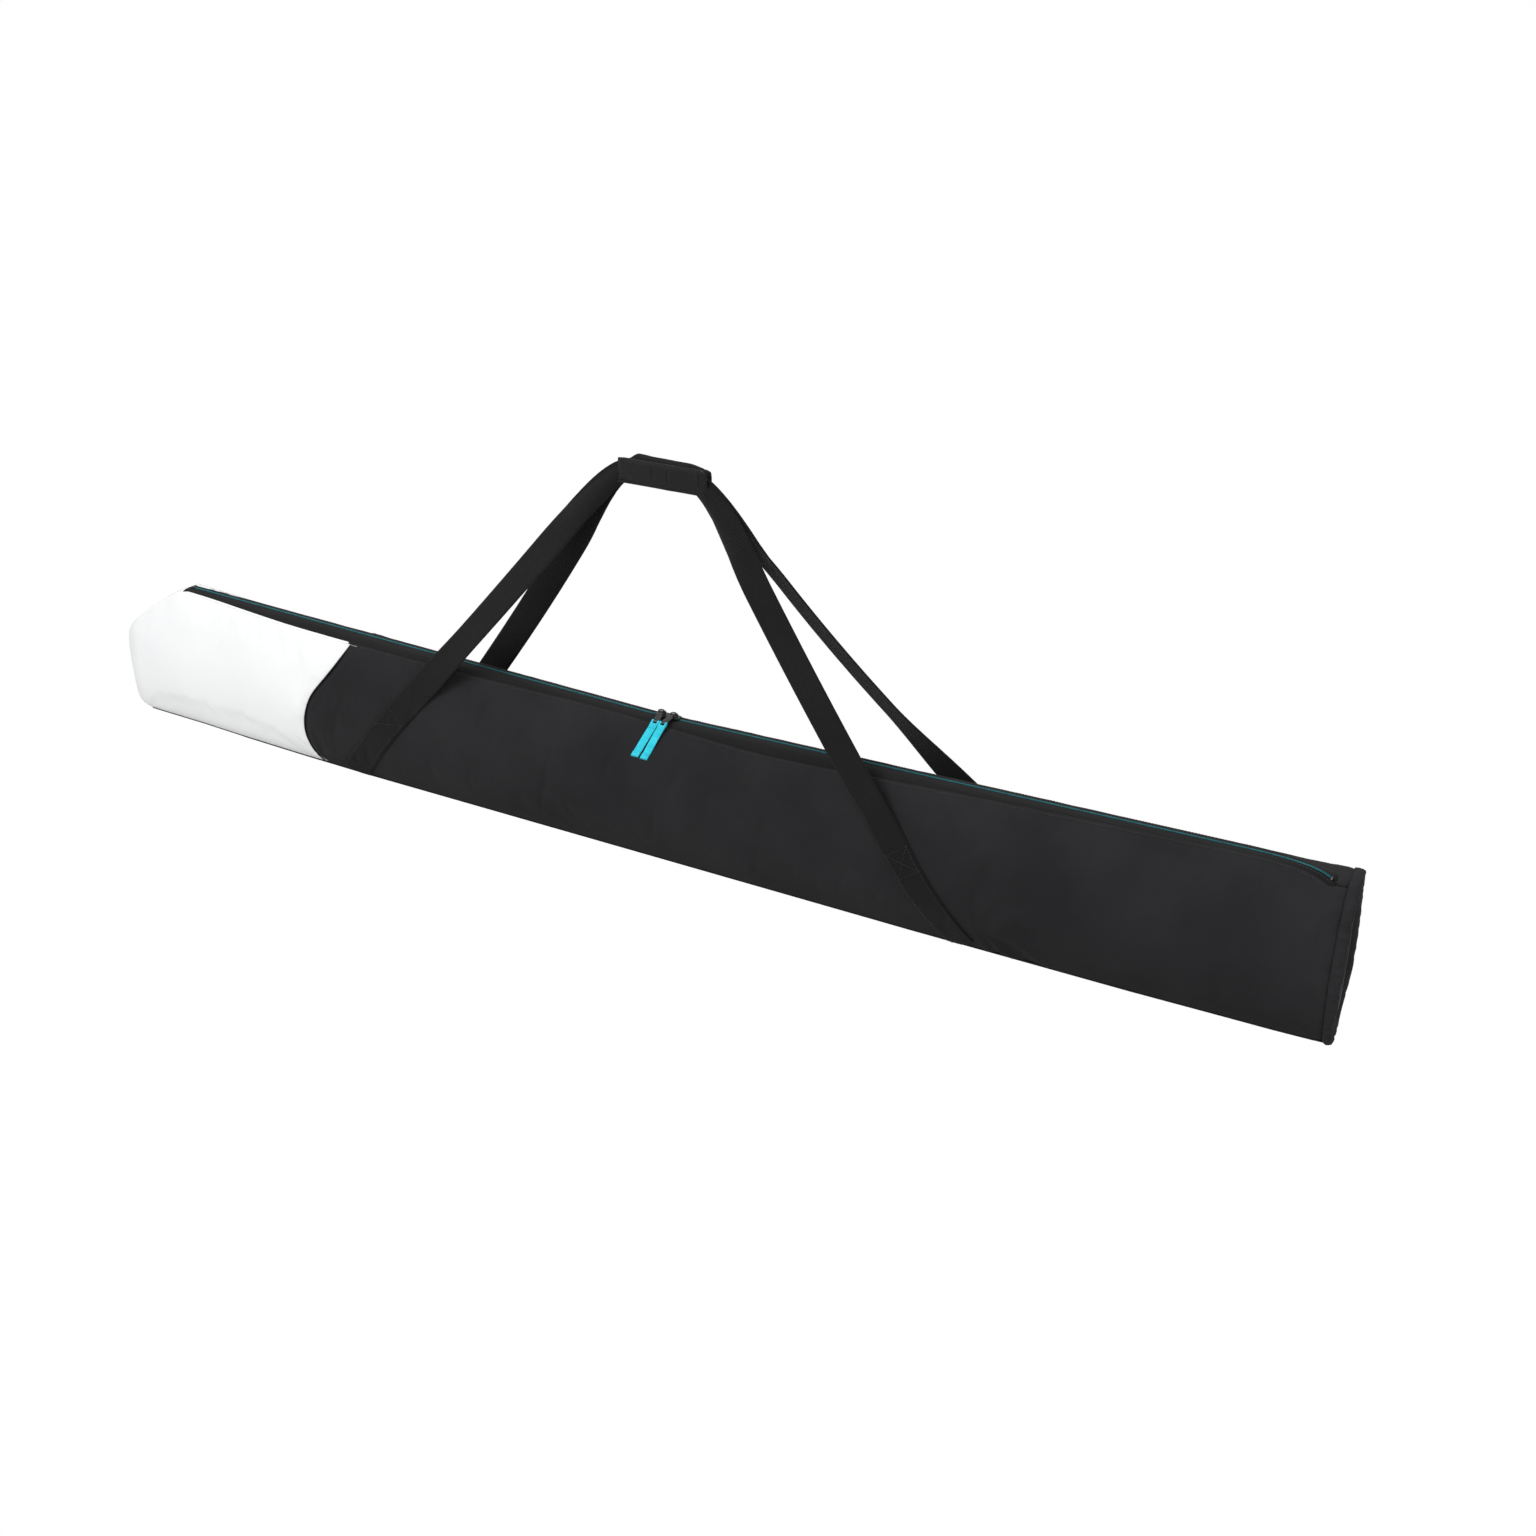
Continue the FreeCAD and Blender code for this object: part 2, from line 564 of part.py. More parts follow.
def band_middle(way, foot, height):
    """X of the webbing's middle line at a height; the line is straight from foot to grip."""
    return f"({crown_end(way)}+({foot}-({crown_end(way)}))*({CROWN_MIDDLE}-({height}))/{CROWN_MIDDLE})"


def band_half(way, foot):
    slant = f"(({foot}-({crown_end(way)}))/{CROWN_MIDDLE})"
    return f"(Bag.webbing_width/2*sqrt(1+{slant}^2))"


def anchor(label, side, way, foot):
    """The sewn lower part of a strap, flat on the side panel from the floor seam upwards."""
    low, high = "Bag.webbing_foot", "Bag.stitch_top"
    low_x, high_x = band_middle(way, foot, low), band_middle(way, foot, high)
    half = band_half(way, foot)
    trim = [(f"{low_x}-{half}", low), (f"{low_x}+{half}", low),
            (f"{high_x}+{half}", high), (f"{high_x}-{half}", high)]
    wall_layer(label, side, "-Bag.webbing-Bag.clearance", "Bag.webbing", low, "50", trim)


def wall_y(x, height):
    """Distance of the wall's outer face from the middle plane. The wall is ruled between its
    stations, so the straight line through the wanted height is found by halving."""
    stations = [(expression_value(s), expression_value(b)) for s, b in STATIONS]
    before = max(i for i, (station, _) in enumerate(stations[:-1]) if station <= x)
    (x0, belly0), (x1, belly1) = stations[before:before + 2]
    share = (x - x0) / (x1 - x0)
    arcs = section_arc(x0, belly0), section_arc(x1, belly1)
    low, high = 0.0, 1.0
    for _ in range(40):
        middle = (low + high) / 2
        first, second = [arc.value(arc.FirstParameter + middle * (arc.LastParameter - arc.FirstParameter))
                         for arc in arcs]
        spot = first * (1 - share) + second * share
        low, high = (middle, high) if spot.y < height else (low, middle)
    return spot.x


def section_arc(x, belly):
    top = expression_value(zip_height(str(x)))
    radius = expression_value(side_radius(str(belly), str(top)))
    foot, tip = Vector(size("foot_half"), 0, 0), Vector(size("zip_half"), top, 0)
    return arc_through(foot, tip, -radius)[0]


def leg(label, side, way, foot):
    """The free part of a strap, a flat band from the stitching up to the grip's end."""
    low = "(Bag.stitch_top+Bag.clearance)"
    low_x = expression_value(band_middle(way, foot, low))
    reach = expression_value(band_half(way, foot))
    widest = max(wall_y(low_x + d, expression_value(low)) for d in (-reach, 0, reach))
    out = widest + 2 * size("clearance") + size("webbing") / 2
    crown_y = size("crown_side") + size("webbing") / 2
    drop = expression_value(f"{CROWN_TOP}-{low}")
    tilt = math.degrees(math.atan2(out - crown_y, drop))
    stretch = 1 / math.cos(math.radians(tilt))
    half = band_half(way, foot)
    end = f"({crown_end(way)}+{way}*Bag.clearance)"
    crown_corners = [(end, "-Bag.crown_height"), (end, "0")]
    corners = [(f"{low_x}-{half}", f"({low}-{CROWN_TOP})*{stretch}"),
               (f"{low_x}+{half}", f"({low}-{CROWN_TOP})*{stretch}")]
    corners += crown_corners if way < 0 else crown_corners[::-1]
    body = plate(label, "XZ_Plane", corners, "-Bag.webbing/2", "Bag.webbing/2")
    spot = Vector(0, side * crown_y, expression_value(CROWN_TOP))
    body.Placement = Placement(spot, Rotation(Vector(1, 0, 0), side * tilt))


def straps():
    for name, side in (("front", -1), ("rear", 1)):
        for end, way in (("left", -1), ("right", 1)):
            foot = f"Bag.{name}_{end}_foot"
            anchor(f"{name}_{end}_strap_anchor", side, way, foot)
            leg(f"{name}_{end}_strap_leg", side, way, foot)
        low = f"({CROWN_MIDDLE}-Bag.crown_height/2)"
        corners = box_corners(crown_end(-1), crown_end(1), low, f"{low}+Bag.crown_height")
        near, far = "Bag.crown_side", "(Bag.crown_side+Bag.webbing)"
        if side > 0:
            near, far = f"-{far}", f"-{near}"
        plate(f"{name}_strap_crown", "XZ_Plane", corners, near, far)


def leaf(name, side, height):
    """One padded half of the grip: a cover open to the inside, with its foam in it."""
    low = "(Bag.grip_low+Bag.clearance)"
    corners = box_corners("0", "Bag.grip_length", low, f"{low}+{height}")
    near, far = "Bag.leaf_inner", "(Bag.leaf_inner+Bag.leaf)"
    if side > 0:
        near, far = f"-{far}", f"-{near}"
    cover = plate(f"grip_{name}_cover", "XZ_Plane", corners, near, far)
    wall = "Bag.leaf_cover"
    open_near = "0" if side < 0 else f"-(Bag.leaf_inner+Bag.leaf-{wall})"
    open_far = f"(Bag.leaf_inner+Bag.leaf-{wall})" if side < 0 else "0"
    tray = sketch_on(cover, "XZ_Plane", f"({open_near}+{open_far})/2")
    outline(tray, box_corners(wall, f"Bag.grip_length-{wall}", f"{low}+{wall}", f"{low}+{height}-{wall}"))
    cut = cover.newObject("PartDesign::Pocket", "pocket")
    cut.Profile = tray
    cut.SideType = "Symmetric"
    cut.setExpression("Length", f"{open_far}-({open_near})")
    edge = f"({wall}+Bag.clearance)"
    foam = box_corners(edge, f"Bag.grip_length-{edge}", f"{low}+{edge}", f"{low}+{height}-{edge}")
    foam_near = near if side < 0 else f"-(Bag.leaf_inner+Bag.leaf-{edge})"
    foam_far = f"(Bag.leaf_inner+Bag.leaf-{edge})" if side < 0 else far
    plate(f"grip_{name}_foam", "XZ_Plane", foam, foam_near, foam_far)


def grip():
    leaf("front", -1, "Bag.grip_height")
    leaf("rear", 1, "Bag.grip_height+3")
    plate("grip_fold", "XZ_Plane",
          box_corners("0", "Bag.grip_length", "Bag.grip_low-Bag.grip_fold", "Bag.grip_low"),
          "-(Bag.leaf_inner+Bag.leaf)", "Bag.leaf_inner+Bag.leaf")
    high = "(Bag.grip_low+Bag.grip_height-1)"
    strip = box_corners("4", "Bag.grip_length-4", f"{high}-Bag.hook_height", high)
    inner = "(Bag.leaf_inner-Bag.hook)"
    plate("hook_strip", "XZ_Plane", strip, inner, "Bag.leaf_inner")
    plate("loop_strip", "XZ_Plane", strip, "-Bag.leaf_inner", f"-{inner}")


# ---------------------------------------------------------------- build, check, write

side_walls()
floor_layers()
nose_strip()
tail_end()
zip_parts()
sliders()
straps()
grip()
doc.recompute()

for item in doc.Objects:
    if "Invalid" in item.State or "Error" in item.State:
        raise RuntimeError(f"{item.Label} ({item.Name}) failed: {item.State}")

parts = [item for item in doc.Objects if item.TypeId == "PartDesign::Body"]
for part in parts:
    if part.Shape.isNull() or not part.Shape.isValid():
        raise RuntimeError(f"{part.Label} has no valid shape")

os.makedirs("parts", exist_ok=True)
for part in parts:
    part.Shape.exportStep(os.path.join("parts", f"{part.Label}.step"))
    box = part.Shape.BoundBox
    print(f"{part.Label}: {len(part.Shape.Solids)} solid, {part.Shape.Volume / 1000:.2f} cm3, "
          f"x {box.XMin:.1f} {box.XMax:.1f}, y {box.YMin:.1f} {box.YMax:.1f}, z {box.ZMin:.1f} {box.ZMax:.1f}")
print(len(parts), "parts")
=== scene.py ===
# %% [markdown]
# # A long padded ski bag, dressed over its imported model
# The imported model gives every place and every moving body. This script puts fabric, webbing,
# stitches and a zip over it. All lengths are in metres. X runs from the nose (-) to the tail (+),
# the front side faces -Y and Z is up.

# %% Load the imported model
import json
import math

import bmesh
import bpy
import numpy as np
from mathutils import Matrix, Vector
from mathutils.bvhtree import BVHTree


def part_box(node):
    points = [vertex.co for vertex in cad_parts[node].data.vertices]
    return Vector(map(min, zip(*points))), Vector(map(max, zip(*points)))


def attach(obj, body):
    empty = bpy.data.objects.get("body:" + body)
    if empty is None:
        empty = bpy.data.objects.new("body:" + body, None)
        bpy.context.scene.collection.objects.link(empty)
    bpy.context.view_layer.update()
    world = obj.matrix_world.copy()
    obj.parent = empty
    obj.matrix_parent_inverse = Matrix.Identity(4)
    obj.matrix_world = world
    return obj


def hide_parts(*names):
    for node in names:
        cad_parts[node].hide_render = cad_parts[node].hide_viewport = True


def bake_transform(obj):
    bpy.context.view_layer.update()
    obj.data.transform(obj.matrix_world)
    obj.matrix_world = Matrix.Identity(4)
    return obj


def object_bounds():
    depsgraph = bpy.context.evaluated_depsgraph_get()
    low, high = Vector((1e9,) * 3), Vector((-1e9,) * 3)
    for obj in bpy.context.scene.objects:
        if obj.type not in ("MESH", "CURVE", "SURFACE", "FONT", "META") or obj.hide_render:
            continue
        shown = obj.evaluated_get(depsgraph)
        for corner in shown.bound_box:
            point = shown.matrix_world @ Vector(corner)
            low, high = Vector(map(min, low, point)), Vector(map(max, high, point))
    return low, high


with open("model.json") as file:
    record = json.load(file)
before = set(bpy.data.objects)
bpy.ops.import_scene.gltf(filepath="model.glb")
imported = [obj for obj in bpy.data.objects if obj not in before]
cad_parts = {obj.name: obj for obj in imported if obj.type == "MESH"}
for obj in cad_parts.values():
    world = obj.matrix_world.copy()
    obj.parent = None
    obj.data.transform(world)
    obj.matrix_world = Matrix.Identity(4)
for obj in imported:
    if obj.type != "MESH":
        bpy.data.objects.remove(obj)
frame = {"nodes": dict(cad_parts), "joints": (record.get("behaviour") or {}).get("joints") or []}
cad_low, cad_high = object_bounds()
joints = {joint["name"]: joint for joint in frame["joints"]}
SIDES, WAYS = (("front", -1), ("rear", 1)), (("left", -1), ("right", 1))

# %% [markdown]
# ## One finish per material
# A fabric is never one flat colour. Each finish below mixes a slow change of colour with a fine
# weave in the bump. The weave reads Object coordinates, so that it stays put on the piece, and
# every plain number goes straight onto the shader's own socket.

# %% Colour helpers
SHEEN_ROUGHNESS, DARK_UNTIL, LIGHT_FROM = 0.6, 0.32, 0.7


def finish_nodes(name, roughness, sheen=0.0, coat=0.0, specular=0.5):
    """An empty finish: its node tree, its shader and its Object coordinates."""
    finish = bpy.data.materials.new(name)
    finish.use_nodes = True
    nodes = finish.node_tree.nodes
    shader = nodes["Principled BSDF"]
    shader.inputs["Roughness"].default_value = roughness
    shader.inputs["Sheen Weight"].default_value = sheen
    shader.inputs["Sheen Roughness"].default_value = SHEEN_ROUGHNESS
    shader.inputs["Specular IOR Level"].default_value = specular
    shader.inputs["Coat Weight"].default_value = coat
    coords = nodes.new("ShaderNodeTexCoord")
    return finish, finish.node_tree, shader, coords


def mottled(tree, shader, source, dark, light, scale, roughness_range):
    """Colour that drifts between two shades, and a roughness that drifts with it."""
    noise = tree.nodes.new("ShaderNodeTexNoise")
    noise.inputs["Scale"].default_value = scale
    noise.inputs["Detail"].default_value = 6
    tree.links.new(source, noise.inputs["Vector"])
    ramp = tree.nodes.new("ShaderNodeValToRGB")
    ramp.color_ramp.elements[0].position = DARK_UNTIL
    ramp.color_ramp.elements[0].color = (*dark, 1)
    ramp.color_ramp.elements[1].position = LIGHT_FROM
    ramp.color_ramp.elements[1].color = (*light, 1)
    tree.links.new(noise.outputs["Fac"], ramp.inputs["Fac"])
    tree.links.new(ramp.outputs["Color"], shader.inputs["Base Color"])
    spread = tree.nodes.new("ShaderNodeMapRange")
    spread.inputs["To Min"].default_value, spread.inputs["To Max"].default_value = roughness_range
    tree.links.new(noise.outputs["Fac"], spread.inputs["Value"])
    tree.links.new(spread.outputs["Result"], shader.inputs["Roughness"])


print("colours drift where the noise is between", DARK_UNTIL, "and", LIGHT_FROM)

# %% Weave helpers
THREAD_WANDER, THREAD_HEIGHT, GRAIN_SCALE = 0.6, 0.0003, 900


def bands(tree, source, direction, pitch):
    """Height of threads that lie side by side. A wave texture of scale 1 repeats every pi/10."""
    wave = tree.nodes.new("ShaderNodeTexWave")
    wave.bands_direction = direction
    wave.inputs["Scale"].default_value = 1 / (pitch * 20 / math.pi) * 2
    wave.inputs["Distortion"].default_value = THREAD_WANDER
    tree.links.new(source, wave.inputs["Vector"])
    return wave.outputs["Fac"]


def bump(tree, shader, heights, strength, distance):
    """Adds the heights up and turns them into bump."""
    total = heights[0]
    for height in heights[1:]:
        both = tree.nodes.new("ShaderNodeMath")
        both.operation = "ADD"
        tree.links.new(total, both.inputs[0])
        tree.links.new(height, both.inputs[1])
        total = both.outputs[0]
    node = tree.nodes.new("ShaderNodeBump")
    node.inputs["Strength"].default_value = strength
    node.inputs["Distance"].default_value = distance
    tree.links.new(total, node.inputs["Height"])
    tree.links.new(node.outputs["Normal"], shader.inputs["Normal"])


print("size of the fabrics' grain:", round(1000 / GRAIN_SCALE, 1), "mm")


# %% Fabrics
def woven(name, dark, light, roughness, pitch, strength, sheen=0.04, scale=9, specular=0.2):
    """A fabric: two shades, a roughness, the pitch of its threads and how deep they read."""
    finish, tree, shader, coords = finish_nodes(name, roughness, sheen, specular=specular)
    source = coords.outputs["Object"]
    mottled(tree, shader, source, dark, light, scale, (roughness - 0.06, roughness + 0.08))
    grain = tree.nodes.new("ShaderNodeTexNoise")
    grain.inputs["Scale"].default_value = GRAIN_SCALE
    tree.links.new(source, grain.inputs["Vector"])
    threads = [bands(tree, source, direction, pitch) for direction in ("X", "Z")]
    bump(tree, shader, threads + [grain.outputs["Fac"]], strength, THREAD_HEIGHT)
    return finish


black_polyester = woven("black_polyester", (0.0162, 0.0163, 0.0177), (0.0232, 0.0234, 0.0250),
                        0.55, 0.0009, 0.3, sheen=0.01, specular=0.05)
zip_tape = woven("zip_tape", (0.0048, 0.0048, 0.0050), (0.0080, 0.0080, 0.0082),
                 0.75, 0.0012, 0.5, specular=0.14)
black_webbing = woven("black_webbing", (0.0036, 0.0036, 0.0034), (0.0072, 0.0072, 0.0068),
                      0.6, 0.0014, 0.6, specular=0.12)
grip_fabric = woven("grip_fabric", (0.0056, 0.0058, 0.0062), (0.0092, 0.0094, 0.0100),
                    0.6, 0.0009, 0.35, specular=0.16)
lining = woven("lining", (0.05, 0.05, 0.053), (0.085, 0.085, 0.09), 0.7, 0.001, 0.3)
foam = woven("foam", (0.20, 0.20, 0.21), (0.28, 0.28, 0.29), 0.9, 0.002, 0.4)
teal_ribbon = woven("teal_ribbon", (0.006, 0.56, 0.74), (0.03, 0.72, 0.86), 0.5, 0.0011, 0.7, 0.1, 140, 0.3)
white_tarpaulin = woven("white_tarpaulin", (0.83, 0.84, 0.845), (0.875, 0.88, 0.88),
                        0.34, 0.0016, 0.05, 0.0, 5, 0.4)
hook_and_loop = woven("hook_and_loop", (0.008, 0.008, 0.009), (0.02, 0.02, 0.02),
                      0.95, 0.0011, 1.0, 0.3, 400)
black_thread = woven("black_thread", (0.010, 0.010, 0.010), (0.022, 0.022, 0.022),
                     0.5, 0.0003, 0.3, 0.05, 300, 0.4)
white_thread = woven("white_thread", (0.62, 0.64, 0.66), (0.72, 0.73, 0.74), 0.6, 0.0003, 0.3, 0.1, 300)
teal_thread = woven("teal_thread", (0.004, 0.30, 0.40), (0.01, 0.42, 0.5), 0.6, 0.0003, 0.3, 0.1, 300)
teal_coil = woven("teal_coil", (0.003, 0.12, 0.145), (0.006, 0.19, 0.22), 0.38, 0.0005, 0.1, 0.0, 120, 0.4)
white_tarpaulin.node_tree.nodes["Principled BSDF"].inputs["Coat Weight"].default_value = 0.25

black_metal, tree, shader, coords = finish_nodes("black_metal", 0.22, coat=0.6)
mottled(tree, shader, coords.outputs["Object"], (0.006, 0.006, 0.007), (0.016, 0.016, 0.017),
        260, (0.18, 0.34))
scratches = tree.nodes.new("ShaderNodeTexNoise")
scratches.inputs["Scale"].default_value = 700
tree.links.new(coords.outputs["Object"], scratches.inputs["Vector"])
bump(tree, shader, [scratches.outputs["Fac"]], 0.15, 0.0002)
print("finishes:", len(bpy.data.materials))

# %% [markdown]
# ## The bag's skin as a formula
# The real bag is cut from two long walls that bulge outwards, with the zip on top and a narrow
# floor strip under them. A formula for that skin lets panels, tape, webbing and stitches lie on
# one surface. The walls are arcs at five stations along the bag, ruled in between, as in the
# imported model. `skin(x, s)` walks s metres over the surface from the zip, front negative.

# %% Sizes of the skin
HALF = cad_high.x
FLOOR_HALF, TOP_HALF = 0.028, 0.016
TUCK, TUCK_HEIGHT = 0.0055, 0.016
NOSE_STATION, MIDDLE, TAIL_STATION = 0.145, 0.061, 0.125
STATION_X = np.array([-HALF, -HALF + NOSE_STATION, MIDDLE, HALF - TAIL_STATION, HALF])
BELLY = np.array([0.034, 0.044, 0.050, 0.048, 0.043])
CREST = np.interp(STATION_X, [-HALF, MIDDLE, HALF], [0.220, 0.193, 0.208])
NOSE_ROUND, NOSE_TIP = 0.060, 0.10
RISE_X = [-HALF, -0.76, -0.68, -0.56, -0.44, 0.42, 0.70, 0.86, HALF]
RISE_Z = [0.0095, 0.0070, 0.0042, 0.0016, 0.0, 0.0, 0.0020, 0.0050, 0.0075]
TOP_ROUNDING, LIFT_STEP = 0.0075, 0.0015
SOFTEN = (-1, -0.6, -0.3, 0, 0.3, 0.6, 1)


def crest(x):
    """Height of the zip above the floor."""
    return np.interp(x, STATION_X, CREST)


bulge = BELLY - (FLOOR_HALF + TOP_HALF) / 2
RADIUS = (CREST ** 2 / 4 + bulge ** 2) / (2 * bulge)
chord = np.hypot(CREST, FLOOR_HALF - TOP_HALF)
inward = np.sqrt(RADIUS ** 2 - chord ** 2 / 4)
CENTRE_Y = (FLOOR_HALF + TOP_HALF) / 2 - inward * CREST / chord
CENTRE_Z = CREST / 2 - inward * (FLOOR_HALF - TOP_HALF) / chord
FOOT_ANGLE = np.arctan2(-CENTRE_Z, FLOOR_HALF - CENTRE_Y)
TOP_ANGLE = np.arctan2(CREST - CENTRE_Z, TOP_HALF - CENTRE_Y)
print("radius of the wall's section at each station:", RADIUS.round(3))


# %% The skin itself
def wall(x, t):
    """(y, z) of the wall at x, where t goes from 0 at the floor to 1 at the top."""
    x, t = np.broadcast_arrays(np.asarray(x, float), np.asarray(t, float))
    before = np.clip(np.searchsorted(STATION_X, x) - 1, 0, len(STATION_X) - 2)
    share = (x - STATION_X[before]) / (STATION_X[before + 1] - STATION_X[before])
    spots = []
    for i in (before, before + 1):
        angle = FOOT_ANGLE[i] + t * (TOP_ANGLE[i] - FOOT_ANGLE[i])
        spots.append((CENTRE_Y[i] + RADIUS[i] * np.cos(angle), CENTRE_Z[i] + RADIUS[i] * np.sin(angle)))
    return [a * (1 - share) + b * share for a, b in zip(*spots)]


def plan(x):
    """The nose narrows in a round curve over its last few centimetres."""
    into = np.clip((x + HALF) / NOSE_ROUND, 0, 1)
    return NOSE_TIP + (1 - NOSE_TIP) * np.sin(into * math.pi / 2)


def rise(x):
    """How far the floor lifts towards both ends of the bag."""
    return np.interp(x, RISE_X, RISE_Z)


def wall_length(x):
    """Length of the wall's arc at x, from the floor to the top's edge."""
    return np.interp(x, STATION_X, RADIUS * (TOP_ANGLE - FOOT_ANGLE))


def hard_skin(x, s):
    """(y, z) of the skin before its top edges are rounded over."""
    over = np.clip((np.abs(s) - TOP_HALF) / wall_length(x), 0, 1)
    y, z = wall(x, 1 - over)
    y = (y - TUCK * (1 - np.clip(z / TUCK_HEIGHT, 0, 1)) ** 2) * plan(x)
    z = z + rise(x) * (1 - z / crest(x)) ** 2
    flat = np.abs(s) < TOP_HALF
    return np.where(flat, s, np.sign(s) * y), np.where(flat, crest(x), z)


def skin(x, s, lift=0.0):
    """Point on the skin at x, s metres from the zip, with the edges of the top rounded over."""
    x, s = np.broadcast_arrays(np.asarray(x, float), np.asarray(s, float))
    low_edge = TOP_HALF + wall_length(x)
    soft = np.minimum(TOP_ROUNDING, np.maximum(low_edge - np.abs(s), 0) * 0.5)
    spots = [hard_skin(x, s + k * soft) for k in SOFTEN]
    y = np.mean([p[0] for p in spots], axis=0)
    z = np.mean([p[1] for p in spots], axis=0)
    if np.any(lift):
        a, b = skin(x, s - LIFT_STEP), skin(x, s + LIFT_STEP)
        dy, dz = b[..., 1] - a[..., 1], b[..., 2] - a[..., 2]
        size = np.hypot(dy, dz)
        y, z = y - dz / size * lift, z + dy / size * lift
    return np.stack([x, y, z], -1)


print("top of the skin at the middle:", skin(MIDDLE, 0.0).round(3))


# %% Heights on the skin
def wall_share(x, z):
    """The t at which the wall at x reaches height z, found by halving."""
    low, high = np.zeros(np.shape(z)), np.ones(np.shape(z))
    for _ in range(24):
        middle = (low + high) / 2
        under = wall(x, middle)[1] < z
        low, high = np.where(under, middle, low), np.where(under, high, middle)
    return (low + high) / 2


def walk_to(x, z):
    """How far over the skin from the zip a point of the wall at height z is."""
    return TOP_HALF + (1 - wall_share(x, z)) * wall_length(x)


print("half girth at the middle:", round(float(TOP_HALF + wall_length(MIDDLE)), 3))

# %% [markdown]
# ## Random but repeatable creases
# Padded fabric is never smooth: it puckers where a thread pulls it. Seeded random values on a
# lattice, blended smoothly, give creases that come out the same each run.

# %% Creases
LATTICE = (97, 89)


def crumple(u, v, seed):
    """Smooth random values between -1 and 1, that change about once per unit."""
    lattice = np.random.default_rng(seed).uniform(-1, 1, LATTICE)
    i, j = np.floor(u).astype(int), np.floor(v).astype(int)
    a, b = u - i, v - j
    a, b = a * a * (3 - 2 * a), b * b * (3 - 2 * b)

    def at(di, dj):
        return lattice[(i + di) % LATTICE[0], (j + dj) % LATTICE[1]]

    return (at(0, 0) * (1 - a) + at(1, 0) * a) * (1 - b) + (at(0, 1) * (1 - a) + at(1, 1) * a) * b


def fade(value, start, end):
    """Goes smoothly from 0 at start to 1 at end."""
    t = np.clip((value - start) / (end - start), 0, 1)
    return t * t * (3 - 2 * t)


print("a crease pattern repeats after", LATTICE, "units")

# %% [markdown]
# ## Sheets as grids of points
# Every panel, tape and strap is a sheet. The simplest way to make one is a grid of points worked
# out by a formula, joined into faces and given its thickness by a Solidify modifier. The modifier
# is then turned into plain mesh, so that later steps can measure and shape what is really there.

# %% Mesh helpers
def coordinates(obj):
    """The corner points of a piece, one row for each."""
    co = np.empty(len(obj.data.vertices) * 3)
    obj.data.vertices.foreach_get("co", co)
    return co.reshape(-1, 3)


def move_to(obj, spots):
    """Puts the corner points of a piece at new spots."""
    obj.data.vertices.foreach_set("co", spots.ravel())
    obj.data.update()


def place(name, data):
    """A new object of the scene, unmoved and unscaled."""
    obj = bpy.data.objects.new(name, data)
    bpy.context.scene.collection.objects.link(obj)
    return obj


def as_points(x, y, z):
    """Points from three arrays of coordinates, stretched to a common shape."""
    return np.stack(np.broadcast_arrays(x, y, z), -1)


sample = as_points(np.arange(3.0)[:, None], np.arange(2.0)[None, :], 0.0)
print("rows, columns and coordinates of a sample grid:", sample.shape)


# %% A sheet from its points
def grid(name, points, finish, flip=False, ring=False, drop=None):
    """A mesh over rows and columns of points, with a UV map in metres. ring joins the last row
    to the first, and drop says which faces are left out."""
    rows, cols = points.shape[:2]
    index = np.arange(rows * cols).reshape(rows, cols)
    if ring:
        index = np.vstack([index, index[:1]])
    corners = [index[:-1, :-1], index[:-1, 1:], index[1:, 1:], index[1:, :-1]]
    faces = np.stack(corners, -1)
    if drop is not None:
        faces = faces[~drop]
    faces = faces.reshape(-1, 4)
    if flip:
        faces = faces[:, ::-1]
    mesh = bpy.data.meshes.new(name)
    mesh.from_pydata(points.reshape(-1, 3).tolist(), [], faces.tolist())
    across = np.linalg.norm(np.diff(points, axis=1), axis=2)
    down = np.linalg.norm(np.diff(points, axis=0), axis=2)
    u = np.concatenate([np.zeros((rows, 1)), np.cumsum(across, 1)], 1)
    v = np.concatenate([np.zeros((1, cols)), np.cumsum(down, 0)], 0)
    uv = np.stack([u, v], -1).reshape(-1, 2)
    loops = np.empty(len(mesh.loops), int)
    mesh.loops.foreach_get("vertex_index", loops)
    mesh.uv_layers.new(name="cloth").data.foreach_set("uv", uv[loops].ravel())
    mesh.polygons.foreach_set("use_smooth", [True] * len(mesh.polygons))
    mesh.materials.append(finish)
    return place(name, mesh)


def normals_of(points):
    """Unit normals of a grid of points."""
    n = np.cross(np.gradient(points, axis=1), np.gradient(points, axis=0))
    return n / np.maximum(np.linalg.norm(n, axis=2, keepdims=True), 1e-12)


print("the sample grid faces", normals_of(sample)[0, 0])


# %% Thickness of a sheet
def settle(obj):
    """Turns the modifiers of a piece into plain mesh."""
    bpy.context.view_layer.update()
    graph = bpy.context.evaluated_depsgraph_get()
    mesh = bpy.data.meshes.new_from_object(obj.evaluated_get(graph))
    obj.modifiers.clear()
    obj.data = mesh
    return obj


def thicken(obj, thickness, offset=-1.0):
    """Gives a sheet its thickness, inwards or with offset 0 to both sides."""
    solid = obj.modifiers.new("thickness", "SOLIDIFY")
    solid.thickness, solid.offset = thickness, offset
    return settle(obj)


# %% [markdown]
# ## Sewing a piece on
# A finished piece rides with one body of the imported model and hides the imported nodes it
# stands for. The sewn bag's tail reaches a little past the packed model, so each piece is drawn
# out there as it is sewn on.

# %% Sewing helpers
TAIL_REACH, TAIL_BEGINS, TAIL_ENDS = 0.0120, 0.800, 0.905


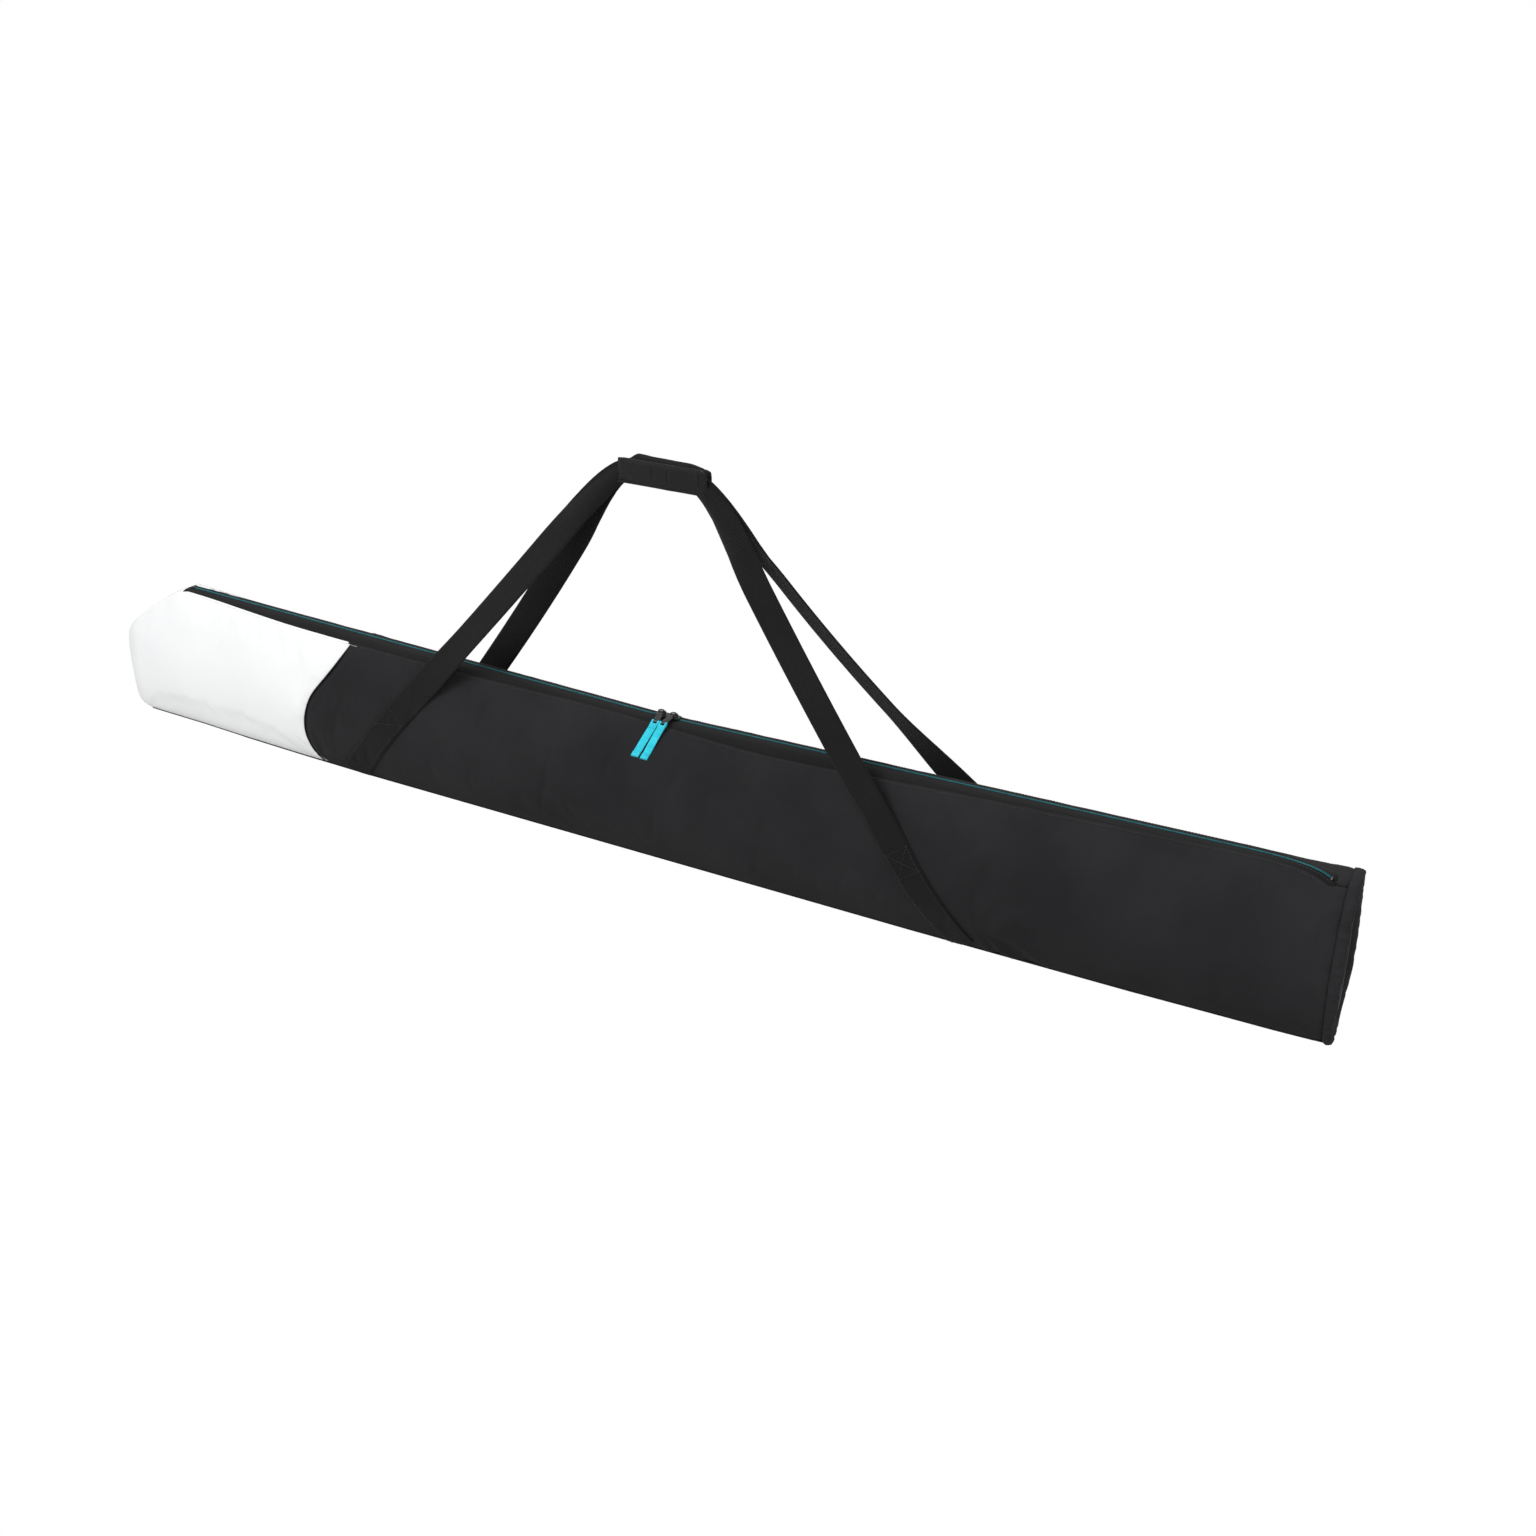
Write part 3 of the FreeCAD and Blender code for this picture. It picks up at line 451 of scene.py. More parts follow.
def reach_tail(obj):
    """The last stretch of the bag is drawn out a little, past the end of the zip's straight run."""
    spots = coordinates(obj)
    spots[:, 0] += TAIL_REACH * fade(spots[:, 0], TAIL_BEGINS, TAIL_ENDS)
    move_to(obj, spots)


def sew_on(obj, body, slot, *nodes):
    """The piece moves with a body and stands for CAD nodes; slot is not used."""
    reach_tail(obj)
    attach(obj, body)
    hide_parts(*nodes)
    print("made", obj.name, len(obj.data.polygons), "faces")
    return obj


print("the tail is drawn out by", TAIL_REACH * 1000, "mm")


# %% [markdown]
# ## Stitches and zip teeth by one node tree
# A row of equal small pieces along a line is a job for Geometry Nodes: the line becomes a curve,
# the curve becomes evenly spaced points, and each point gets one small rounded bead. Pitch and
# bead size are named inputs, so that one tree serves thread and zip alike.

# %% The row tree
def row_tree():
    """The line becomes a curve, then points, and each point carries a bead turned along the line."""
    tree = bpy.data.node_groups.new("row_of_beads", "GeometryNodeTree")
    face = tree.interface
    face.new_socket("Geometry", in_out="INPUT", socket_type="NodeSocketGeometry")
    for name in ("Pitch", "Along", "Across", "Height"):
        face.new_socket(name, in_out="INPUT", socket_type="NodeSocketFloat")
    face.new_socket("Finish", in_out="INPUT", socket_type="NodeSocketMaterial")
    face.new_socket("Geometry", in_out="OUTPUT", socket_type="NodeSocketGeometry")
    new = tree.nodes.new
    source, target = new("NodeGroupInput"), new("NodeGroupOutput")
    line, spots = new("GeometryNodeMeshToCurve"), new("GeometryNodeCurveToPoints")
    spots.mode = "LENGTH"
    bead, copies = new("GeometryNodeMeshUVSphere"), new("GeometryNodeInstanceOnPoints")
    bead.inputs["Segments"].default_value, bead.inputs["Rings"].default_value = 8, 5
    bead.inputs["Radius"].default_value = 0.5
    size = new("ShaderNodeCombineXYZ")
    turn, level = new("FunctionNodeAlignRotationToVector"), new("FunctionNodeAlignRotationToVector")
    turn.axis, level.axis, level.pivot_axis = "X", "Z", "X"
    smooth, real = new("GeometryNodeSetShadeSmooth"), new("GeometryNodeRealizeInstances")
    paint = new("GeometryNodeSetMaterial")
    links = [
        (source, "Geometry", line, "Mesh"), (line, "Curve", spots, "Curve"),
        (source, "Pitch", spots, "Length"), (source, "Along", size, "X"),
        (source, "Across", size, "Y"), (source, "Height", size, "Z"),
        (spots, "Tangent", turn, "Vector"), (turn, "Rotation", level, "Rotation"),
        (spots, "Points", copies, "Points"), (bead, "Mesh", copies, "Instance"),
        (level, "Rotation", copies, "Rotation"), (size, "Vector", copies, "Scale"),
        (copies, "Instances", real, "Geometry"), (real, "Geometry", smooth, "Geometry"),
        (smooth, "Geometry", paint, "Geometry"), (source, "Finish", paint, "Material"),
        (paint, "Geometry", target, "Geometry"),
    ]
    for a, out, b, into in links:
        tree.links.new(a.outputs[out], b.inputs[into])
    return tree


ROWS = row_tree()
ROW_INPUTS = {item.name: item.identifier for item in ROWS.interface.items_tree if item.in_out == "INPUT"}
print("the row tree has", len(ROWS.nodes), "nodes and the inputs", sorted(ROW_INPUTS))

# %% Rows and stitches
STITCH, STITCH_PITCH = (0.0030, 0.0007, 0.0007), 0.0038


def row_of(name, paths, pitch, bead, finish):
    """Beads along each path; bead is (along, across, height)."""
    points, edges = [], []
    for path in paths:
        start = len(points)
        points += [tuple(p) for p in path]
        edges += [(k, k + 1) for k in range(start, len(points) - 1)]
    mesh = bpy.data.meshes.new(name)
    mesh.from_pydata(points, edges, [])
    obj = place(name, mesh)
    beads = obj.modifiers.new("beads", "NODES")
    beads.node_group = ROWS
    for key, value in zip(("Pitch", "Along", "Across", "Height", "Finish"), (pitch, *bead, finish)):
        beads[ROW_INPUTS[key]] = value
    return settle(obj)


def stitches(name, paths, finish, body, slot):
    """Thread along the paths, on a body."""
    return sew_on(row_of(name, paths, STITCH_PITCH, STITCH, finish), body, slot)


print("stitches to a metre of seam:", round(1 / STITCH_PITCH))

# %% Tubes
TUBE_SIDES = 8


def tube(name, path, radius, finish):
    """A thin closed tube along a path, for piping and cord edges."""
    path = np.asarray(path)
    along = np.gradient(path, axis=0)
    along /= np.linalg.norm(along, axis=1, keepdims=True)
    side = np.cross(along, (0.13, 0.21, 1.0))
    side /= np.linalg.norm(side, axis=1, keepdims=True)
    up = np.cross(side, along)
    angles = np.linspace(0, 2 * math.pi, TUBE_SIDES, endpoint=False)
    from_end = np.minimum(np.arange(len(path)), np.arange(len(path))[::-1])
    taper = np.minimum(1, from_end * 0.6 + 0.05)
    rings = [path + radius * taper[:, None] * (math.cos(a) * side + math.sin(a) * up) for a in angles]
    return grid(name, np.stack(rings), finish, flip=True, ring=True)


print("corners round a tube:", TUBE_SIDES)

# %% [markdown]
# ## Where the seams run
# The nose is cut with a swept top, and meets the dark side panel in an S-shaped seam. The zip
# runs down the middle of the top and swings to the front in its last few centimetres, where it
# is sewn off. Each seam is a short formula.

# %% Outline of the nose
NOSE_CORNER, NOSE_KINK, NOSE_SWEEP, ZIP_START = 0.038, 0.098, 0.400, -HALF + 0.148


def through(a, b, radius, side):
    """Centre of the arc of that radius through two points, on the given side of them."""
    a, b = np.array(a), np.array(b)
    step = b - a
    length = np.linalg.norm(step)
    normal = np.array([-step[1], step[0]]) / length * side
    return (a + b) / 2 + normal * math.sqrt(radius ** 2 - length ** 2 / 4)


SWEEP_CENTRE = through((-HALF, NOSE_KINK), (ZIP_START, float(crest(ZIP_START))), NOSE_SWEEP, -1)


def nose_x(z):
    """x of the nose's outline at height z: a corner, an upright and the swept top."""
    z = np.asarray(z, float)
    corner = -HALF + NOSE_CORNER - np.sqrt(NOSE_CORNER ** 2 - np.clip(NOSE_CORNER - z, 0, NOSE_CORNER) ** 2)
    swept = SWEEP_CENTRE[0] - np.sqrt(NOSE_SWEEP ** 2 - (np.maximum(z, NOSE_KINK) - SWEEP_CENTRE[1]) ** 2)
    return np.where(z < NOSE_KINK, corner, swept)


print("the nose's outline at the floor, the kink and the zip:", nose_x([0.0, NOSE_KINK, 0.21]).round(3))

# %% Seam lines
SEAM_Z = [0.0, 0.024, 0.049, 0.069, 0.082, 0.102, 0.120, 0.138, 0.157, 0.180, 0.201, 0.215]
SEAM_X = [-0.512, -0.529, -0.5345, -0.5325, -0.529, -0.5213, -0.511, -0.495, -0.479, -0.462, -0.448,
          -0.4385]
SEAM_TOP_X, SEAM_BLUR = -0.435, 0.009
TAIL_EDGE, ZIP_TURNS, ZIP_END, ZIP_SWING, DART = 0.914, 0.799, 0.895, 0.0190, 0.0255
REAR_TAPE, TAPE_BLUR = 0.0064, 0.03
# how many millimetres of tape show in front of the coil, at places along the bag
FRONT_TAPE = [(-0.777, 14.5), (-0.72, 16), (-0.635, 20.5), (-0.56, 23.4), (-0.45, 24), (-0.25, 23),
              (-0.05, 18.2), (0.02, 18.2), (0.105, 22), (0.20, 27), (0.30, 25.5), (0.50, 19),
              (0.80, 12.5), (0.86, 10.5), (0.92, 8.5)]


def smooth_table(value, at, out, blur):
    """Looks a value up in a table and rounds the table's corners off."""
    value = np.asarray(value, float)
    return np.mean([np.interp(value + k * blur, at, out) for k in SOFTEN], axis=0)


def seam_x(z):
    """The S seam between nose and side panel."""
    return smooth_table(z, SEAM_Z, SEAM_X, SEAM_BLUR)


def zip_line(x):
    """How far the zip lies from the middle of the top: it swings to the front at the tail."""
    turn = np.clip((np.asarray(x, float) - ZIP_TURNS) / (ZIP_END - ZIP_TURNS), 0, 1.2)
    return -ZIP_SWING * turn ** 3


def tape_shown(x, side):
    """How much tape shows beside the coil: a wide band in front, hardly any behind."""
    if side > 0:
        return np.full(np.shape(x), REAR_TAPE)
    return smooth_table(x, *zip(*FRONT_TAPE), TAPE_BLUR) / 1000


def zip_seam(x, side):
    """The panels' top edges, beside the tape. Behind the zip's end they meet in a short dart."""
    x = np.asarray(x, float)
    beside = zip_line(x) + side * tape_shown(x, side)
    dart = -DART + side * 0.0002
    return beside + (dart - beside) * fade(x, ZIP_END - 0.001, ZIP_END + 0.004)


print("seam meets the zip at", round(float(seam_x(crest(SEAM_TOP_X))), 3))

# %% [markdown]
# ## The four outer panels
# Each wall is a padded sandwich with a nose panel and a side panel. The panels are grids over the
# skin. Near a seam the thread pulls the fabric in and puckers it; away from seams the padding
# shows slow dents. A cloth simulation with the edges pinned then lets the fabric settle under a
# light pressure, capped so that it stays off the webbing.

# %% Relief of a panel
FRONT_HEM, REAR_HEM, NOSE_ROLL = 0.0013, 0.0002, 0.0022
SEAM_PINCH, TAIL_PINCH = 0.0010, 0.0020
PUCKER, GATHER, SEAM_PULL, DENT, SMALL_DENT = 0.0011, 0.0013, 0.0006, 0.0011, 0.0004
STRAP_PULL = 0.0016


def relief(x, s, side, seed):
    """How far the fabric stands out from the skin."""
    top = np.abs(s - zip_seam(x, side))
    low = np.abs(TOP_HALF + wall_length(x) - np.abs(s))
    z = skin(x, s)[..., 2]
    cross = np.abs(x - seam_x(z)) * 0.78
    tail = np.abs(TAIL_EDGE - x)
    hem = (FRONT_HEM if side < 0 else REAR_HEM) * (1 - fade(top, 0.004, 0.026))
    if side > 0:
        hem = hem + NOSE_ROLL * fade(-x, 0.64, 0.72) * np.exp(-((top - 0.010) / 0.0075) ** 2)
    pinch = -SEAM_PINCH * (np.exp(-(low / 0.006) ** 2) + 1.1 * np.exp(-(cross / 0.005) ** 2))
    pinch = pinch - TAIL_PINCH * np.exp(-(tail / 0.006) ** 2)
    pull = 0.3 + 0.7 * fade(crumple(x / 0.09, s * 0 + 3.5, seed + 5), -0.3, 0.6)
    puckers = crumple((x + 0.5 * top * side) / 0.010, top / 0.060, seed) * pull
    puckers = puckers * PUCKER * np.exp(-top / 0.016) * fade(top, 0.001, 0.006)
    gathers = crumple((s + 0.25 * tail) / 0.012, tail / 0.05, seed + 1) * GATHER * np.exp(-tail / 0.02)
    seam_pulls = crumple((s + 0.4 * cross) / 0.016, cross / 0.05, seed + 2) * SEAM_PULL
    seam_pulls = seam_pulls * np.exp(-cross / 0.018)
    dents = crumple(x / 0.075 + 0.6 * s / 0.1, s / 0.085, seed + 3) * DENT
    dents = dents + crumple(x / 0.030 - s / 0.09, s / 0.050, seed + 4) * SMALL_DENT
    amount = fade(np.minimum(np.minimum(top, low), tail), 0.004, 0.035)
    return hem + pinch + puckers + gathers + seam_pulls + dents * amount


def strap_creases(x, z, side):
    """Fabric pulled towards the foot of the right webbing, where the bag hangs from it."""
    foot_x = 0.520 if side < 0 else 0.640
    dx, dz = x - foot_x, z - 0.035
    reach = np.hypot(dx, dz)
    fan = np.sin(9 * np.arctan2(dz, dx) + 40 * reach)
    return STRAP_PULL * fan * np.exp(-((reach - 0.055) / 0.04) ** 2) * fade(dx, -0.02, 0.03)


pulled_in = -float(relief(0.0, -walk_to(0.0, 0.0), -1, 30))
print("the thread pulls the floor seam in by", round(pulled_in * 1000, 2), "mm")


# %% Cloth that settles
SWELL_CAP = 0.0012


def swell(obj, pressure, pinned=None, spare=0.0, frames=14):
    """Blender's cloth under pressure, with no point moved further than SWELL_CAP."""
    before = coordinates(obj)
    if pinned is not None:
        sewn = obj.vertex_groups.new(name="sewn")
        sewn.add([int(i) for i in pinned], 1.0, "REPLACE")
    cloth = obj.modifiers.new("swell", "CLOTH")
    settings = cloth.settings
    settings.quality, settings.mass = 4, 0.2
    settings.tension_stiffness = settings.compression_stiffness = 12
    settings.shear_stiffness, settings.bending_stiffness = 4, 0.6
    settings.use_pressure, settings.uniform_pressure_force = True, pressure
    settings.effector_weights.gravity = 0
    settings.shrink_min = -spare
    if pinned is not None:
        settings.vertex_group_mass = "sewn"
    cloth.collision_settings.use_collision = False
    scene = bpy.context.scene
    cloth.point_cache.frame_start, cloth.point_cache.frame_end = 1, frames
    for step in range(1, frames + 1):
        scene.frame_set(step)
    graph = bpy.context.evaluated_depsgraph_get()
    after = coordinates(obj.evaluated_get(graph))
    obj.modifiers.remove(cloth)
    obj.vertex_groups.clear()
    scene.frame_set(1)
    moved = after - before
    length = np.linalg.norm(moved, axis=1, keepdims=True)
    moved *= np.minimum(1, SWELL_CAP / np.maximum(length, 1e-9))
    move_to(obj, before + moved)
    print("settled", obj.name, "moved", round(float(length.max()) * 1000, 2), "mm at most, mean",
          round(float(length.mean()) * 1000, 2))


print("settling moves no point by more than", SWELL_CAP * 1000, "mm")


# %% Panel builder
PANEL, PANEL_ROWS, SEAM_GAP = 0.0012, 64, 0.0004
outer = {}


def panel(name, side, left, right, top_s, finish, cols, seed):
    """A panel from its left edge to its right edge, from the zip seam down to the floor seam.
    left and right give x for a height; top_s gives s for x."""
    rows = PANEL_ROWS
    r = np.linspace(0, 1, rows)[:, None] ** 1.15
    c = np.linspace(0, 1, cols)[None, :]
    x = np.full((rows, cols), 0.0) + left(0.1) * (1 - c) + right(0.1) * c
    for _ in range(12):
        low = side * (TOP_HALF + wall_length(x) - PANEL)
        s = top_s(x) * (1 - r) + low * r
        z = skin(x, s)[..., 2]
        x = left(z) * (1 - c) + right(z) * c
    lift = relief(x, s, side, seed) + strap_creases(x, z, side)
    points = skin(x, s, lift)
    obj = grid(name, points, finish, flip=side < 0)
    index = np.arange(rows * cols).reshape(rows, cols)
    edges = (index[:2], index[-2:], index[:, :2], index[:, -2:])
    swell(obj, 2.0, np.concatenate([edge.ravel() for edge in edges]), spare=0.004)
    outer[name] = BVHTree.FromObject(obj, bpy.context.evaluated_depsgraph_get())
    thicken(obj, PANEL)
    return obj


print("a panel is", PANEL * 1000, "mm thick, with", PANEL_ROWS, "rows of points")


# %% The outer panels
def nose_top(side):
    """The nose panel's top edge: beside the tape, and at the swept edge in front of it."""
    def s_at(x):
        return zip_seam(x, side) + side * 0.004 * (1 - fade(x, ZIP_START - 0.004, ZIP_START + 0.012))
    return s_at


for word, side in SIDES:
    nose = panel(f"{word}_nose_panel_cloth", side, lambda z: nose_x(z) + SEAM_GAP,
                 lambda z: seam_x(z) - SEAM_GAP, nose_top(side), white_tarpaulin, 131, 11 + side)
    sew_on(nose, "bag", "white_tarpaulin", f"{word}_nose_panel")
    wide = panel(f"{word}_side_panel_cloth", side, lambda z: seam_x(z) + SEAM_GAP,
                 lambda z: np.full(np.shape(z), TAIL_EDGE), lambda x, side=side: zip_seam(x, side),
                 black_polyester, 391, 31 + side)
    sew_on(wide, "bag", "black_polyester", f"{word}_side_panel")


# %% Points on the finished panels
def on_panels(x, z, side, lift):
    """Points on the finished outside of a wall, at x and height z, lifted off it."""
    x, z = np.broadcast_arrays(np.asarray(x, float), np.asarray(z, float))
    word = "front" if side < 0 else "rear"
    trees = [outer[f"{word}_{part}_panel_cloth"] for part in ("side", "nose")]
    s = side * walk_to(x, z)
    spots = skin(x, s)
    out = skin(x, s, 0.001) - spots
    for spot in spots.reshape(-1, 3):
        start = Vector((spot[0], side * 0.2, spot[2]))
        hits = [tree.ray_cast(start, Vector((0, -side, 0)))[0] for tree in trees]
        reached = [abs(hit.y) for hit in hits if hit is not None]
        if reached:
            spot[1] = side * max(reached)
    return spots + out / 0.001 * lift


print("the front wall halfway up its middle:", on_panels([MIDDLE], CREST[2] / 2, -1, 0.0)[0].round(4))


# %% [markdown]
# ## Foam and lining under the panels
# The padding is a foam sheet with a thin lining inside it. They follow the same skin a few
# millimetres further in, so they are thin grids over the same formula.

# %% Inner layers
FOAM_DEPTH, FOAM, LINING_DEPTH, LINING = 0.0034, 0.0030, 0.0070, 0.0008


def inner_wall(name, side, depth, thickness, finish):
    """A sheet of the wall, depth under the skin, from the nose to the tail."""
    rows, cols = 26, 150
    r = np.linspace(0, 1, rows)[:, None]
    c = np.linspace(0, 1, cols)[None, :]
    x = np.full((rows, cols), 0.0)
    for _ in range(10):
        low = TOP_HALF + wall_length(x) - 0.004 - depth
        s = side * ((TOP_HALF - 0.001) * (1 - r) + low * r)
        z = skin(x, s)[..., 2]
        x = (nose_x(z) + 0.008) * (1 - c) + (TAIL_EDGE - 0.001) * c
    points = skin(x, s, -depth + 0.0004 * crumple(x / 0.05, s / 0.04, 71))
    return thicken(grid(name, points, finish, flip=side < 0), thickness)


for word, side in SIDES:
    pad = inner_wall(f"{word}_wall_foam_sheet", side, FOAM_DEPTH, FOAM, foam)
    sew_on(pad, "bag", "foam", f"{word}_wall_foam")
    sheet = inner_wall(f"{word}_lining_sheet", side, LINING_DEPTH, LINING, lining)
    sew_on(sheet, "bag", "lining", f"{word}_lining")

# %% Floor of the bag
def floor_layer(name, node, wider, thickness, finish, quilt=0.0):
    """A floor sheet in the place of a packed one, narrowed by the tuck and widened by wider."""
    low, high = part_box(node)
    x = np.linspace(low.x, high.x, 260)[:, None]
    half = high.y - TUCK + wider
    y = np.linspace(-1, 1, 17)[None, :] * half * np.sqrt(np.clip((x - low.x) / 0.02 + 0.35, 0, 1))
    y = y * plan(x)
    top = low.z + thickness + rise(x) + quilt * crumple(x / 0.05, y / 0.03, 5)
    return thicken(grid(name, as_points(x, y, top), finish, flip=True), thickness)


gusset = floor_layer("bottom_gusset_cloth", "bottom_gusset", 0.0, 0.0013, black_polyester)
sew_on(gusset, "bag", "black_polyester", "bottom_gusset")
pad = floor_layer("bottom_foam_sheet", "bottom_foam", 0.003, 0.0036, foam, quilt=0.0003)
sew_on(pad, "bag", "foam", "bottom_foam")
sheet = floor_layer("bottom_lining_sheet", "bottom_lining", 0.001, LINING, lining)
sew_on(sheet, "bag", "lining", "bottom_lining")

# %% [markdown]
# ## The nose's end strip
# Between the two nose panels runs a strip of the same coated fabric, from the floor round the
# front of the nose up to the zip. It is a grid across the nose's outline, slightly crowned.

# %% Nose strip
def nose_outline():
    """(x, z) round the nose: the corner at the floor, the upright and the swept top."""
    corner = np.linspace(-math.pi / 2, -math.pi, 14)
    points = [(-HALF + NOSE_CORNER + NOSE_CORNER * math.cos(a), NOSE_CORNER + NOSE_CORNER * math.sin(a))
              for a in corner]
    points += [(-HALF, z) for z in np.linspace(NOSE_CORNER, NOSE_KINK, 12)[1:-1]]
    points += [(float(nose_x(z)), z) for z in np.linspace(NOSE_KINK, float(crest(ZIP_START)), 30)]
    return np.array(points)


outline = nose_outline()
along = np.gradient(outline, axis=0)
along /= np.linalg.norm(along, axis=1, keepdims=True)
q = np.linspace(-1, 1, 25)[None, :]
edge = skin(outline[:, 0], walk_to(outline[:, 0], outline[:, 1]))
proud = 0.0022 * (1 - q ** 2) - 0.0012 * np.abs(q) ** 8
proud = proud + 0.0005 * crumple(q * 3 + 9, np.arange(len(outline))[:, None] / 4, 3)
strip_points = as_points(outline[:, :1] - along[:, 1:] * proud, edge[:, 1:2] * q,
                         edge[:, 2:] + along[:, :1] * proud)
strip_points[..., 2] = np.maximum(strip_points[..., 2], 0.0002)
strip = thicken(grid("nose_end_strip_cloth", strip_points, white_tarpaulin, flip=True), PANEL)
sew_on(strip, "bag", "white_tarpaulin", "nose_end_strip")

# %% [markdown]
# ## Seams you can see
# Thin piping closes the S seam and the floor seams, and one row of topstitching runs beside the
# zip. Both follow the skin.

# %% Piping and topstitching
PIPING_START, NOSE_STITCH_END, SIDE_STITCH_START = -0.69, -0.440, -0.430

for word, side in SIDES:
    heights = np.linspace(0.004, float(crest(SEAM_TOP_X)) - 0.006, 90)
    seam = on_panels(seam_x(heights), heights, side, 0.0001)
    sew_on(tube(f"{word}_nose_seam_piping", seam, 0.0009, black_polyester), "bag", "black_polyester")
    x = np.linspace(PIPING_START, TAIL_EDGE - 0.003, 300)
    floor_line = np.stack([x, side * (FLOOR_HALF - TUCK + 0.0004) + 0 * x, 0.0016 + rise(x)], -1)
    sew_on(tube(f"{word}_floor_piping", floor_line, 0.0014, black_polyester), "bag", "black_polyester")
    for part, finish, slot, start, end in (
            ("nose", white_thread, "white_tarpaulin", ZIP_START + 0.01, NOSE_STITCH_END),
            ("side", black_thread, "black_polyester", SIDE_STITCH_START, ZIP_END - 0.004)):
        x = np.linspace(start, end, 500)
        s = zip_seam(x, side) + side * 0.0030
        stitch_line = skin(x, s, relief(x, s, side, 31 + side) + 0.0001)
        stitches(f"{word}_{part}_topstitching", [stitch_line], finish, "bag", slot)

# %% [markdown]
# ## The zip
# A nylon coil zip is two woven tapes, each with a coil of small loops sewn to its edge, that mesh
# in the middle. The tapes are strips over the skin, and the loops are beads from the row tree,
# the rear row shifted by half a pitch so that the two mesh.

# %% Tapes
TEETH_PITCH, TOOTH, COIL_HALF = 0.0022, (0.0012, 0.0027, 0.0013), 0.0013
TAPE_HIDDEN, TAPE, STOP_HALF, STOP_RADIUS = 0.0022, 0.0006, 0.0028, 0.0016
for word, side in SIDES:
    x = np.linspace(ZIP_START + 0.0005, ZIP_END + 0.0045, 480)[None, :]
    shown = tape_shown(x, side) + TAPE_HIDDEN - COIL_HALF
    across = COIL_HALF + shown * np.linspace(0, 1, 14)[:, None] ** 1.3
    s = zip_line(x) + side * across
    wave = 0.0004 * crumple(x / 0.03, across * 0 + 2.5, 17) * fade(across, 0.006, 0.009)
    lip = 0.0003 * (1 - fade(across, 0.0018, 0.0042))
    points = skin(x, s, 0.0007 + wave + lip)
    tape = thicken(grid(f"{word}_zip_tape_cloth", points, zip_tape, flip=side < 0), TAPE)
    sew_on(tape, "bag", "zip_tape", f"{word}_zip_tape")
    x = np.linspace(ZIP_START + 0.010, ZIP_END - 0.001, 900)
    x = x + (TEETH_PITCH / 2 if side > 0 else 0)
    path = skin(x, zip_line(x) + side * 0.0005, 0.0012)
    teeth = row_of(f"{word}_zip_coil_teeth", [path], TEETH_PITCH, TOOTH, teal_coil)
    sew_on(teeth, "bag", "teal_coil", f"{word}_zip_coil")
    sewing = skin(x, zip_line(x) + side * 0.0048, 0.0010)
    stitches(f"{word}_coil_sewing", [sewing], black_thread, "bag", "zip_tape")

# The lower stop sits at the end of the curved coil.
across = np.linspace(-STOP_HALF, STOP_HALF, 14)
clip = skin(np.full(14, ZIP_END - 0.0006), float(zip_line(ZIP_END)) + across, STOP_RADIUS)
sew_on(tube("tail_zip_stop_clip", clip, STOP_RADIUS, black_metal), "bag", "black_metal", "tail_zip_stop")

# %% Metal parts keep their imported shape
for name, node in frame["nodes"].items():
    if "slider" in name or "pull_tab" in name or name == "nose_zip_stop":
        node.data.materials.clear()
        node.data.materials.append(black_metal)
        print("kept", name, len(node.data.polygons), "faces")

# %% [markdown]
# ## Ribbon pulls
# Each zip pull is a bright grosgrain ribbon, folded round the T of the metal tab, sewn across
# below the fold and folded again into a small hem at its lower end. It is one strip that follows
# that folded line, thickened.

# %% Ribbons
RIBBON_WIDTH, RIBBON_LEAN, RIBBON, RIBBON_REACH = 0.0107, math.radians(22), 0.0006, 0.0505
LOOP_RADIUS, LAYER_GAP, LOOP_ENDS, NOTCH = 0.00150, 0.00040, 0.0095, 0.0030
HEM_OUT, HEM_SEWN, SEWN_HALF = 1.42e-3, 0.0452, 0.0048
RIBBON_STITCH, RIBBON_STITCH_PITCH = (0.0016, 0.0005, 0.0005), 0.0019


def ribbon_line():
    """(down, out) along the folded ribbon: hem, front layer, fold round the bar, back layer."""
    reach, loop, gap = RIBBON_REACH, LOOP_RADIUS, LAYER_GAP
    hem = [(reach - 0.0075, HEM_OUT), (reach - 0.002, HEM_OUT), (reach + 0.0002, 1.0e-3),
           (reach - 0.001, gap)]
    front = [(d, gap + (loop - gap) * (1 - fade(d, 0.002, LOOP_ENDS)))
             for d in np.linspace(reach - 0.003, 0.0015, 40)]
    fold = [(-loop * math.sin(a), loop * math.cos(a)) for a in np.linspace(0, math.pi, 11)]
    back = [(d, -gap - (loop - gap) * (1 - fade(d, 0.002, LOOP_ENDS)))
            for d in np.linspace(0.0015, reach - 0.001, 40)]
    return np.array([(float(d), float(o)) for d, o in hem + front + fold + back])


